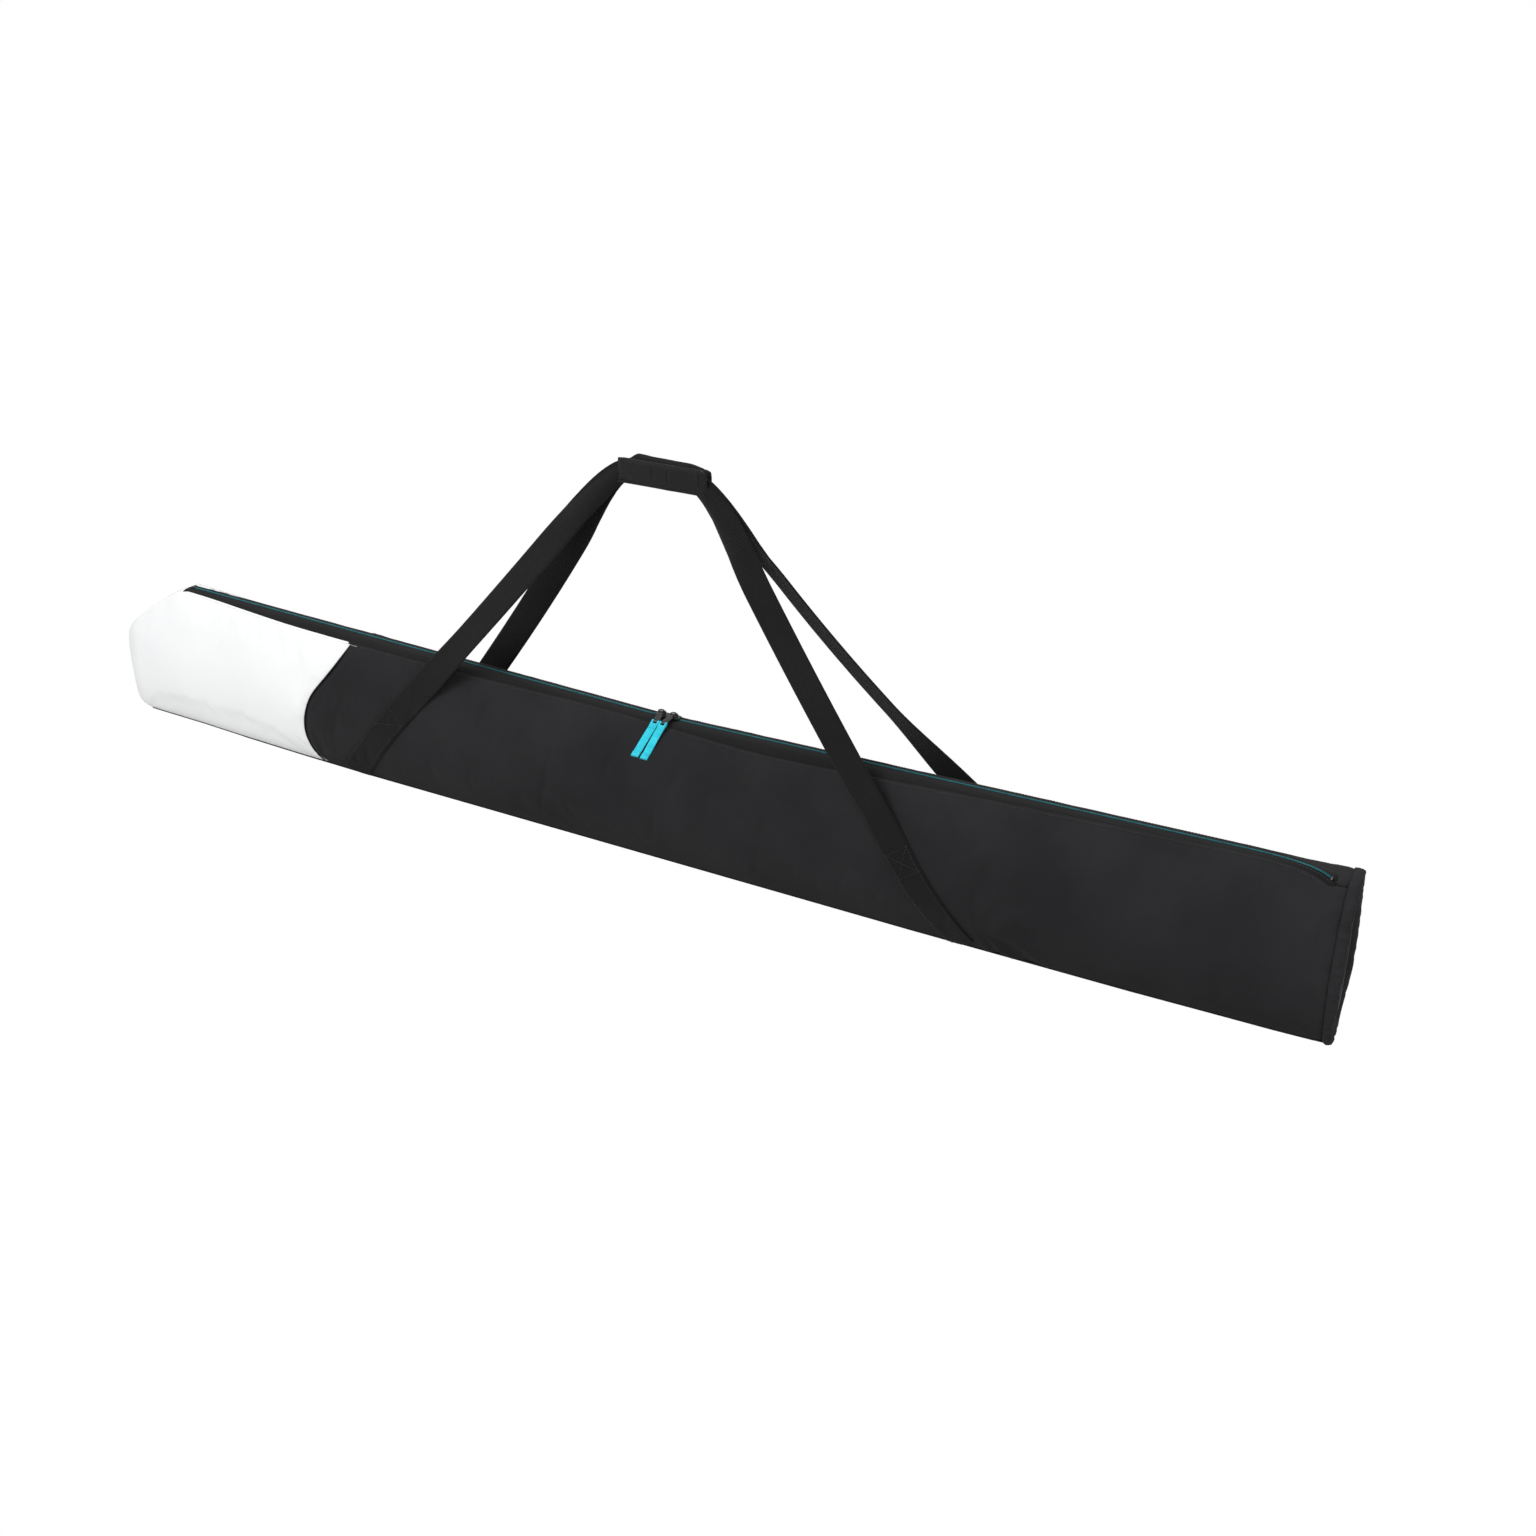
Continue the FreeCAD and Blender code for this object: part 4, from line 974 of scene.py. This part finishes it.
for word in ("left", "right"):
    low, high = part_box(f"{word}_pull_ribbon")
    bar = Vector(joints[f"{word}_ribbon_swing"]["pos_m"])
    axis = -Vector(joints[f"{word}_ribbon_swing"]["axis"])
    down = Vector((bar.x, low.y + 0.0008, low.z)) - bar
    down = (down - axis * down.dot(axis)).normalized()
    out = down.cross(axis)
    out = out if out.y < 0 else -out
    line = ribbon_line()
    w = np.linspace(-0.5, 0.5, 15)[None, :] * RIBBON_WIDTH
    d, o = line[:, :1], line[:, 1:]
    ripple = 0.00012 * np.sin(d / 0.0011 * 2 * math.pi) * np.sign(o)
    shift = w - np.maximum(d, 0) * math.tan(RIBBON_LEAN)
    sag = 0.0006 * np.sin(np.clip(d, 0, 1) / 0.05 * math.pi)
    points = (np.array(bar) + shift[..., None] * np.array(axis) + (d + 0 * w)[..., None] * np.array(down)
              + (o + ripple + sag + 0 * w)[..., None] * np.array(out))
    middle = np.abs((w[:, :-1] + w[:, 1:]) / 2) < NOTCH
    ribbon = grid(f"{word}_ribbon_cloth", points, teal_ribbon, drop=(d[:-1] < NOTCH) & middle)
    thicken(ribbon, RIBBON, 0.0)
    sew_on(ribbon, f"{word}_ribbon_body", "teal_ribbon", f"{word}_pull_ribbon")
    rows = [[np.array(bar + axis * (v - at * math.tan(RIBBON_LEAN)) + down * at + out * proud)
             for v in np.linspace(-SEWN_HALF, SEWN_HALF, 12)]
            for at, proud in ((LOOP_ENDS, 0.0011), (HEM_SEWN, 0.0020))]
    sewn = row_of(f"{word}_ribbon_stitches", rows, RIBBON_STITCH_PITCH, RIBBON_STITCH, teal_thread)
    sew_on(sewn, f"{word}_ribbon_body", "teal_ribbon")

# %% [markdown]
# ## Webbing straps
# Four lengths of 38 mm webbing are sewn flat on the walls and run up to the carry grip, where
# they curl together. Each is one strip: it lies on the finished panel as far as the box stitch,
# then leaves it in a soft bow. Its cross ribs are modelled, one every two millimetres. Across the
# free length it bends between the bag and the handle.

# %% Strap path
WEBBING, WEBBING_WIDTH, STITCH_TOP, RIB_PITCH = 0.0015, 0.038, 0.125, 0.0022
CROWN_Z, CROWN_TOP, CROWN_ENDS = 0.510, 0.521, (-0.008, 0.124)
FEET = {("front", -1): -0.462, ("front", 1): 0.500, ("rear", -1): -0.394, ("rear", 1): 0.638}
BOW = {("front", -1): -0.004, ("front", 1): -0.004, ("rear", -1): -0.006, ("rear", 1): -0.024}
TWIST = {("front", -1): math.radians(-17), ("front", 1): 0.0,
         ("rear", -1): 0.0, ("rear", 1): math.radians(33)}
TURN_IN, GRIP_REACH, CURL, RIB_HEIGHT, WALL_GAP = 0.86, 0.018, 1.45, 0.00022, 0.0006


def strap_middle(word, way, z):
    """x of the webbing's middle at height z."""
    foot, crown = FEET[word, way], CROWN_ENDS[(way + 1) // 2]
    share = np.asarray(z, float) / CROWN_Z
    free = np.clip((np.asarray(z, float) - STITCH_TOP) / (CROWN_Z - STITCH_TOP), 0, 1)
    return foot + (crown - foot) * share + way * BOW[word, way] * np.sin(math.pi * free)


def strap_path(word, way, share):
    """x and z of the middle line: up the bow, then over a bend into the end of the grip."""
    share = np.asarray(share, float)
    crown = CROWN_ENDS[(way + 1) // 2]
    start_x, start_z = float(strap_middle(word, way, TURN_IN * CROWN_Z)), TURN_IN * CROWN_Z
    t = np.clip((share - TURN_IN) / (1 - TURN_IN), 0, 1)
    bend_x = (1 - t) ** 2 * start_x + 2 * t * (1 - t) * crown + t ** 2 * (crown - way * GRIP_REACH)
    bend_z = (1 - t) ** 2 * start_z + (1 - (1 - t) ** 2) * CROWN_Z
    rising = share < TURN_IN
    return (np.where(rising, strap_middle(word, way, share * CROWN_Z), bend_x),
            np.where(rising, share * CROWN_Z, bend_z))


def strap_frame(word, way, across, share):
    """x and z of a point of the webbing, across its width from the middle line."""
    step = 0.004
    (x0, z0), (x1, z1) = (strap_path(word, way, share + k) for k in (-step, step))
    size = np.hypot(x1 - x0, z1 - z0)
    x, z = strap_path(word, way, share)
    return x + across * (z1 - z0) / size, z - across * (x1 - x0) / size


# %% How far out the webbing leaves the walls
wall_out = {}
for word, side in SIDES:
    for way in (-1, 1):
        near = float(strap_middle(word, way, STITCH_TOP)) + np.linspace(-0.02, 0.02, 5)
        widest = np.abs(on_panels(near, STITCH_TOP, side, 0.0)[..., 1]).max()
        wall_out[word, way] = float(widest) + WALL_GAP + WEBBING / 2
        print(word, "webbing leaves the wall", round(wall_out[word, way] * 1000, 1), "mm from the middle")


# %% Straps
def strap_points(word, side, way):
    """The whole strap: sewn on the wall at first, then free, twisted, and curled into the grip."""
    length = math.hypot(CROWN_ENDS[(way + 1) // 2] - FEET[word, way], CROWN_Z)
    rows, cols = int(length / (RIB_PITCH / 4)), 13
    w = np.linspace(-0.5, 0.5, cols)[None, :] * WEBBING_WIDTH
    share = np.linspace(0.012, 1.0, rows)[:, None]
    free = np.clip((share * CROWN_Z - STITCH_TOP) / (CROWN_Z - STITCH_TOP), 0, 1)
    curl = CURL * fade(free, 0.70, 0.98) + 1e-4
    radius = WEBBING_WIDTH / (2 * curl)
    turn = TWIST[word, way] * fade(free, 0.08, 0.35) * (1 - fade(free, 0.78, 0.97))
    flat = radius * np.sin(w / radius)
    depth = radius * (1 - np.cos(w / radius)) - 0.12 * radius * (1 - np.cos(curl)) + flat * np.sin(turn)
    x, height = strap_frame(word, way, flat * np.cos(turn), share)
    height = np.maximum(height, 0.0035)
    leave = fade(height, STITCH_TOP - 0.004, STITCH_TOP + 0.055)[..., None]
    sewn = on_panels(x, np.minimum(height, 0.185), side, WEBBING / 2 + 0.0004)
    reach = np.clip((CROWN_TOP - height) / (CROWN_TOP - STITCH_TOP), 0, 1)
    out = wall_out[word, way] * reach + 0.0016 * (1 - reach) + 0.0015 * np.sin(math.pi * reach)
    hung = np.stack([x, side * out, height], -1)
    points = sewn * (1 - leave) + hung * leave
    points[..., 1] -= side * depth * leave[..., 0]
    points[..., 1] = side * np.maximum(points[..., 1] * side, 0.0009)
    ribs = RIB_HEIGHT * np.cos(np.arange(rows) / 4 * 2 * math.pi)[:, None]
    edge = np.abs(np.linspace(-1, 1, cols)) > 0.9
    normal = normals_of(points)
    normal *= np.sign(normal[..., 1:2] * side)
    return points + normal * np.where(edge[None, :], 0.0001, ribs)[..., None]


for word, side in SIDES:
    for end, way in WAYS:
        points = strap_points(word, side, way)
        facing = np.sign(normals_of(points)[..., 1].mean()) == side
        strap = grid(f"{word}_{end}_strap", points, black_webbing, flip=not facing)
        thicken(strap, WEBBING, 0.0)
        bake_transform(strap)
        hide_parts(f"{word}_{end}_strap_anchor", f"{word}_{end}_strap_leg")
        print("made", strap.name, len(strap.data.polygons), "faces")

# %% [markdown]
# ## Box stitches on the webbing
# The load goes into the wall through a sewn box with a cross in it. The thread lies on the
# webbing, so each line is sampled on the finished panel with the webbing's thickness added.

# %% Box stitches
BOX_LOW, BOX_HIGH, BOX_HALF = 0.093, 0.119, WEBBING_WIDTH / 2 - 0.004
BOX = [(-BOX_HALF, BOX_LOW), (BOX_HALF, BOX_LOW), (BOX_HALF, BOX_HIGH), (-BOX_HALF, BOX_HIGH)]
BOX_LINES = [(BOX[a], BOX[b]) for a, b in ((0, 1), (1, 2), (2, 3), (3, 0), (0, 2), (1, 3))]
BOX_LINES += [((-BOX_HALF, 0.012), BOX[3]), ((BOX_HALF, 0.016), BOX[2])]


def on_webbing(word, side, way, a, b):
    """A line on the webbing from a to b, each given as (across, height)."""
    across, z = np.linspace(a[0], b[0], 14), np.linspace(a[1], b[1], 14)
    x, height = strap_frame(word, way, across, z / CROWN_Z)
    return on_panels(x, height, side, WEBBING + 0.0008)


for word, side in SIDES:
    for end, way in WAYS:
        paths = [on_webbing(word, side, way, *line) for line in BOX_LINES]
        stitches(f"{word}_{end}_box_stitch", paths, black_thread, "bag", "black_webbing")

# %% [markdown]
# ## The carry grip
# A padded wrap closes round the webbing. Its rear half hangs on the webbing and stands a little
# higher; its front half folds down on hook and loop. Each half is a soft closed pad: a rounded
# section along a gently crowned line, swollen by the cloth simulation, with its hems pressed in
# afterwards.

# %% Grip pads
GRIP_LOW, GRIP_LENGTH, PAD_IN, PAD = 0.4966, 0.128, 0.0030, 0.0042
HEM_HEIGHT, TACKS, END_LINE = GRIP_LOW + 0.0085, (0.052, 0.074), 0.010
PAD_ENDS = {"front": (0.0, GRIP_LENGTH), "rear": (0.002, GRIP_LENGTH)}


def front_top(x):
    """Upper edge of the front pad."""
    return 0.5270 + 0.0010 * fade(x, 0, 0.100) - 0.0025 * fade(x, 0.108, GRIP_LENGTH)


def rear_top(x):
    """Upper edge of the rear pad, which stands higher over the webbing."""
    hump = fade(x, 0.006, 0.026) * (1 - fade(x, 0.095, 0.136))
    return 0.5235 + (0.0088 - 0.022 * x) * hump


def pad_shape(name, side, top, ends, seed):
    """A closed pad. top(x) is its upper edge; ends are the x of its two ends."""
    cols, ring = 66, 40
    points = np.zeros((ring, cols, 3))
    x = np.linspace(ends[0], ends[1], cols)
    slim = np.sqrt(np.clip(np.minimum(x - ends[0], ends[1] - x) / 0.006, 0.004, 1))
    height = (top(x) - GRIP_LOW) / 2
    for k, a in enumerate(np.linspace(0, 2 * math.pi, ring, endpoint=False)):
        across = np.sign(math.cos(a)) * abs(math.cos(a)) ** 0.55
        up = np.sign(math.sin(a)) * abs(math.sin(a)) ** 0.28
        points[k, :, 0] = x
        points[k, :, 1] = side * (PAD_IN + PAD / 2 + across * PAD / 2 * slim)
        points[k, :, 2] = GRIP_LOW + height + up * height * (0.93 + 0.07 * slim)
    wave = 0.0007 * crumple(points[..., 0] / 0.016, points[..., 2] / 0.02, seed)
    outer_face = points[..., 1] * side > PAD_IN + PAD / 2
    points[..., 1] += side * wave * outer_face
    obj = grid(name, points, grip_fabric, flip=side > 0, ring=True)
    shape = bmesh.new()
    shape.from_mesh(obj.data)
    shape.verts.ensure_lookup_table()
    for end in (0, cols - 1):
        shape.faces.new([shape.verts[k * cols + end] for k in range(ring)])
    bmesh.ops.recalc_face_normals(shape, faces=shape.faces)
    shape.to_mesh(obj.data)
    shape.free()
    obj.data.polygons.foreach_set("use_smooth", [True] * len(obj.data.polygons))
    return obj


print("tops of the pads halfway along:", front_top(GRIP_LENGTH / 2), round(rear_top(GRIP_LENGTH / 2), 4))


# %% Quilting the pads
def quilt(obj, side, ends, seed):
    """Presses the hem lines in, and puckers the ends."""
    co = coordinates(obj)
    outside = fade(co[:, 1] * side, PAD_IN + PAD * 0.4, PAD_IN + PAD * 0.8)
    hem = np.exp(-((co[:, 2] - HEM_HEIGHT) / 0.0011) ** 2)
    end_line = np.exp(-((co[:, 0] - (ends[1] - END_LINE)) / 0.0011) ** 2)
    end_line = end_line * fade(co[:, 2], HEM_HEIGHT - 0.002, HEM_HEIGHT)
    tacks = sum(np.exp(-((co[:, 0] - x) / 0.0012) ** 2) for x in TACKS)
    tacks = tacks * (fade(co[:, 2], HEM_HEIGHT, HEM_HEIGHT + 0.002)
                     - fade(co[:, 2], HEM_HEIGHT + 0.013, HEM_HEIGHT + 0.017))
    end_gap = np.minimum(co[:, 0] - ends[0], ends[1] - co[:, 0])
    pucker = crumple(co[:, 2] / 0.006, co[:, 0] / 0.02, seed) * np.exp(-end_gap / 0.010)
    co[:, 1] -= side * outside * (0.0016 * hem + 0.0012 * end_line + 0.0014 * tacks)
    co[:, 1] += side * outside * pucker * 0.0012
    move_to(obj, co)


pads = {}
for word, side, top, seed in (("front", -1, front_top, 41), ("rear", 1, rear_top, 43)):
    pads[word] = pad = pad_shape(f"grip_{word}_pad", side, top, PAD_ENDS[word], seed)
    swell(pad, 4.0, frames=12)
    smooth = pad.modifiers.new("smooth", "SUBSURF")
    smooth.levels = smooth.render_levels = 1
    settle(pad)
    quilt(pad, side, PAD_ENDS[word], seed + 6)
sew_on(pads["front"], "grip_flap", "grip_fabric", "grip_front_cover", "grip_front_foam")
sew_on(pads["rear"], "handle", "grip_fabric", "grip_rear_cover", "grip_rear_foam")

# %% Grip stitches, fold and closure
CLOSURE_END, CLOSURE_TOP, CLOSURE_OUT, FOLD_RADIUS, FOLD_SAG = 0.119, 0.519, 0.0016, 0.0068, 0.0036
PILE, PILE_PITCH = (0.0009, 0.0010, 0.0009), 0.0016


def grip_rows(side):
    """Thread on one half of the grip: the hem, one end and two tacks."""
    y = side * (PAD_IN + 0.0044)
    hem = [(x, y, HEM_HEIGHT) for x in np.linspace(0.006, 0.117, 50)]
    end = [(0.1135, y, z) for z in np.linspace(GRIP_LOW + 0.009, 0.525, 20)]
    tacks = [[(x, y, z) for z in np.linspace(GRIP_LOW + 0.010, GRIP_LOW + 0.022, 8)] for x in TACKS]
    return [hem, end] + tacks


stitches("grip_front_stitching", grip_rows(-1), black_thread, "grip_flap", "grip_fabric")
stitches("grip_rear_stitching", grip_rows(1), black_thread, "handle", "grip_fabric")
low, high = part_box("grip_fold")
angles = np.linspace(math.pi * 1.04, math.pi * 1.96, 14)[:, None]
x = np.linspace(low.x + 0.001, GRIP_LENGTH - 0.001, 60)[None, :]
fold_y = np.cos(angles) * FOLD_RADIUS + 0 * x
fold_z = high.z + 0.0010 + np.sin(angles) * FOLD_SAG
fold_z = fold_z + 0.0003 * crumple(x / 0.012, fold_y * 0 + 1.5, 3)
fold = thicken(grid("grip_fold_cloth", as_points(x, fold_y, fold_z), grip_fabric), 0.0011)
sew_on(fold, "handle", "grip_fabric", "grip_fold")


def closure_strip(node, name, side, body):
    """Hook or loop tape: a backing with rows of short pile."""
    low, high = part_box(node)
    end, top = min(high.x, CLOSURE_END), min(high.z, CLOSURE_TOP)
    x, z = np.linspace(low.x, end, 40)[None, :], np.linspace(low.z, top, 6)[:, None]
    backing = grid(name, as_points(x, side * CLOSURE_OUT, z), hook_and_loop, flip=side < 0)
    thicken(backing, 0.0010)
    sew_on(backing, body, "hook_and_loop", node)
    rows = [[(a, side * 0.0010, h) for a in np.linspace(low.x + 0.001, end - 0.001, 30)]
            for h in np.linspace(low.z + 0.001, top - 0.001, 6)]
    sew_on(row_of(f"{name}_pile", rows, PILE_PITCH, PILE, hook_and_loop), body, "hook_and_loop")


closure_strip("hook_strip", "hook_tape", -1, "grip_flap")
closure_strip("loop_strip", "loop_tape", 1, "handle")

# %% Webbing inside the grip
for word, side in SIDES:
    x = np.arange(0.004, CLOSURE_END, RIB_PITCH / 4)[:, None]
    v = np.linspace(-1, 1, 11)[None, :]
    y = side * (0.0016 + 0.0012 * (1 - v ** 2) + 0.00018 * np.cos(x / RIB_PITCH * 2 * math.pi))
    points = as_points(x, y, CROWN_Z + v * 0.0115)
    crown = thicken(grid(f"{word}_crown_webbing", points, black_webbing, flip=side > 0), 0.0010)
    sew_on(crown, "handle", "black_webbing", f"{word}_strap_crown")

# %% [markdown]
# ## The tail end
# The tail is closed by a small end panel, sewn in behind a bound rim. The binding is gathered by
# its thread, so it puckers all the way round. The rim is a folded profile swept round the
# section's outline, and the panel fills it, sunk a little and slack.

# %% Outline of the tail
def section_loop(x, count):
    """The closed outline of the section at x, evenly spaced, with its outward normals."""
    s = np.linspace(-1, 1, 400) * float(TOP_HALF + wall_length(x))
    over = skin(np.full(400, x), s)[:, 1:]
    half = FLOOR_HALF - TUCK
    floor = np.stack([np.linspace(half, -half, 60)[1:-1], np.full(58, float(rise(x)))], -1)
    closed = np.concatenate([over, floor, over[:1]])
    at = np.concatenate([[0], np.cumsum(np.linalg.norm(np.diff(closed, axis=0), axis=1))])
    want = np.linspace(0, at[-1], count, endpoint=False)
    even = np.stack([np.interp(want, at, closed[:, k]) for k in (0, 1)], -1)
    for _ in range(12):
        even = (np.roll(even, 1, 0) + even * 2 + np.roll(even, -1, 0)) / 4
    tangent = np.roll(even, -1, 0) - np.roll(even, 1, 0)
    tangent /= np.linalg.norm(tangent, axis=1, keepdims=True)
    outward = np.stack([-tangent[:, 1], tangent[:, 0]], -1)
    if (outward * (even - even.mean(0))).sum() < 0:
        outward = -outward
    return even, outward


ROUND = 300
loop, outward = section_loop(HALF - 0.006, ROUND)
steps = np.linalg.norm(loop - np.roll(loop, 1, axis=0), axis=1)
print("round the tail:", round(float(steps.sum()), 3), "m")

# %% The rim
RIM_THICKNESS = 0.0010
# the folded profile: (x from the tail's end, out from the section's outline)
RIM = [(-0.0135, -0.0004), (-0.0128, 0.0010), (-0.0085, 0.0018), (-0.0035, 0.0014), (-0.0008, 0.0002),
       (-0.0002, -0.0018), (-0.0008, -0.0050), (-0.0026, -0.0082), (-0.0050, -0.0100), (-0.0066, -0.0112)]
NEAR_PUCKER, FAR_PUCKER = 0.0023, 0.0005
REAR_BACK, REAR_OUT, REAR_HEM_BACK, LOW_HEM_BACK = 0.005, 0.004, 0.0015, 0.0040


def lean_back(points):
    """The rear half of the open end stands back a little and bulges outwards."""
    behind = fade(points[..., 1], -0.010, 0.036)
    low = 1 - fade(points[..., 2], 0.0, 0.080)
    hem = fade(points[..., 0], HALF - 0.0135, HALF - 0.003)
    points[..., 0] -= REAR_BACK * behind + hem * (REAR_HEM_BACK * behind + LOW_HEM_BACK * low)
    points[..., 1] += REAR_OUT * behind


around = np.arange(ROUND)
rim_points = np.zeros((ROUND, len(RIM), 3))
for k, (back, out) in enumerate(RIM):
    pucker = crumple(around / 3.1, around * 0 + 0.5 + k * 0.35, 7) * min(1, (k + 0.3) / 2)
    pucker = pucker * (NEAR_PUCKER - (NEAR_PUCKER - FAR_PUCKER) * fade(loop[:, 0], -0.01, 0.02))
    slack = 0.0006 * crumple(around / 14, around * 0 + k * 0.2, 9)
    ring = loop + outward * (out + pucker * 0.7 + slack)[:, None]
    ring[:, 1] = np.maximum(ring[:, 1], 0.0003)
    rim_points[:, k] = as_points(HALF + back + np.minimum(pucker, 0.0002), ring[:, 0], ring[:, 1])
lean_back(rim_points)
rim = grid("tail_rim_cloth", rim_points, black_polyester, ring=True)
if rim.data.polygons[4].normal.dot(Vector((0, *(loop[0] - loop.mean(0))))) < 0:
    rim.data.flip_normals()
thicken(rim, RIM_THICKNESS)
sew_on(rim, "bag", "black_polyester", "tail_end_rim")

# %% The end panel
PANEL_RINGS, PANEL_EDGE, PANEL_SINK = 12, 0.0068, 0.0120
middle_z = loop[:, 1].mean()
ring = loop + outward * RIM[-1][1]
end_points = np.zeros((ROUND, PANEL_RINGS, 3))
for k in range(PANEL_RINGS):
    share = k / (PANEL_RINGS - 1)
    inside = math.sin(share * math.pi / 2)
    y = ring[:, 0] * (1 - share)
    z = middle_z + (ring[:, 1] - middle_z) * (1 - 0.55 * share)
    wrinkle = 0.0012 * crumple(z / 0.022, y / 0.018, 13) * inside
    end_points[:, k] = as_points(HALF - (PANEL_EDGE + PANEL_SINK * inside) + wrinkle, y, z)
lean_back(end_points)
end_panel = grid("tail_panel_cloth", end_points, black_polyester, ring=True)
if end_panel.data.polygons[2].normal.x < 0:
    end_panel.data.flip_normals()
end_panel.modifiers.new("weld", "WELD").merge_threshold = 0.0004
settle(end_panel)
sew_on(end_panel, "bag", "black_polyester", "tail_end_panel")

# %% [markdown]
# ## Studio
# A plain pale floor, one large soft light above the front, a weaker fill, a third light from
# above and a bright plain backdrop. The floor shows white to the camera but keeps a trace of the
# bag's shadow.

# %% Lamps
def area_light(name, spot, aim, size, power):
    """A square lamp at a spot, turned to where it aims."""
    lamp = bpy.data.lights.new(name, "AREA")
    lamp.size, lamp.energy = size, power
    obj = place(name, lamp)
    obj.location = spot
    obj.rotation_euler = (Vector(aim) - Vector(spot)).to_track_quat("-Z", "Y").to_euler()


area_light("key_light", (-1.2, -2.4, 2.7), (0, 0, 0.15), 2.2, 84)
area_light("fill_light", (2.6, -1.6, 1.7), (0.3, 0, 0.1), 2.0, 22)
area_light("top_light", (0.2, 0.8, 3.0), (0, 0, 0.2), 2.6, 34)
print("lamps:", sorted(lamp.name for lamp in bpy.data.lights))

# %% Floor
FLOOR_REACH, FLOOR_LEVEL, FLOOR_SHADE, FLOOR_WHITE = 90, -0.0005, 0.64, 0.995


def seen_rays(tree):
    """1 for rays from the camera, or on through a clear piece, and 0 for all other rays."""
    rays, either = tree.nodes.new("ShaderNodeLightPath"), tree.nodes.new("ShaderNodeMath")
    either.operation = "MAXIMUM"
    tree.links.new(rays.outputs["Is Camera Ray"], either.inputs[0])
    tree.links.new(rays.outputs["Is Transmission Ray"], either.inputs[1])
    return either.outputs[0]


floor_finish = bpy.data.materials.new("studio_floor")
floor_finish.use_nodes = True
tree = floor_finish.node_tree
tree.nodes.clear()
target, matte, glow, pick, share = (tree.nodes.new(kind) for kind in (
    "ShaderNodeOutputMaterial", "ShaderNodeBsdfDiffuse", "ShaderNodeEmission", "ShaderNodeMixShader",
    "ShaderNodeMath"))
matte.inputs["Color"].default_value = (FLOOR_SHADE, FLOOR_SHADE, FLOOR_SHADE, 1)
glow.inputs["Strength"].default_value = 1.0
share.operation, share.inputs[1].default_value = "MULTIPLY", FLOOR_WHITE
tree.links.new(seen_rays(tree), share.inputs[0])
tree.links.new(share.outputs[0], pick.inputs["Fac"])
tree.links.new(matte.outputs[0], pick.inputs[1])
tree.links.new(glow.outputs[0], pick.inputs[2])
tree.links.new(pick.outputs[0], target.inputs["Surface"])
floor_mesh = bpy.data.meshes.new("studio_floor")
floor_mesh.from_pydata([(x * FLOOR_REACH, y * FLOOR_REACH, FLOOR_LEVEL) for x, y in
                        ((-1, -1), (1, -1), (1, 1), (-1, 1))], [], [(0, 1, 2, 3)])
floor_mesh.materials.append(floor_finish)
studio_floor = place("studio_floor", floor_mesh)
print("the floor is", 2 * FLOOR_REACH, "m wide")

# %% Backdrop
BACKDROP_UNSEEN, BACKDROP_SEEN = 0.45, 1.0
world = bpy.data.worlds.new("studio")
world.use_nodes = True
bpy.context.scene.world = world
tree = world.node_tree
background, level = tree.nodes["Background"], tree.nodes.new("ShaderNodeMapRange")
level.inputs["To Min"].default_value = BACKDROP_UNSEEN
level.inputs["To Max"].default_value = BACKDROP_SEEN
tree.links.new(seen_rays(tree), level.inputs["Value"])
tree.links.new(level.outputs["Result"], background.inputs["Strength"])
background.inputs["Color"].default_value = (1, 1, 1, 1)
print("the backdrop's strength:", BACKDROP_SEEN, "to the camera and", BACKDROP_UNSEEN, "to the rest")

# %% Camera
PITCH, YAW = math.radians(25.60), math.radians(30.26)
CAMERA_PLACE, CAMERA_LENS, CAMERA_WIDTH = (1.2493, -1.7852, 1.1483), 43.18, 36.0
forward = Vector((-math.sin(YAW) * math.cos(PITCH), math.cos(YAW) * math.cos(PITCH), -math.sin(PITCH)))
lens = bpy.data.cameras.new("camera")
lens.lens, lens.sensor_width = CAMERA_LENS, CAMERA_WIDTH
camera = place("camera", lens)
camera.location = CAMERA_PLACE
camera.rotation_euler = forward.to_track_quat("-Z", "Y").to_euler()
bpy.context.scene.camera = camera
bpy.context.scene.view_settings.view_transform = "Standard"
print("camera", round(camera.location.length, 2), "m from the bag's middle, lens", CAMERA_LENS, "mm")
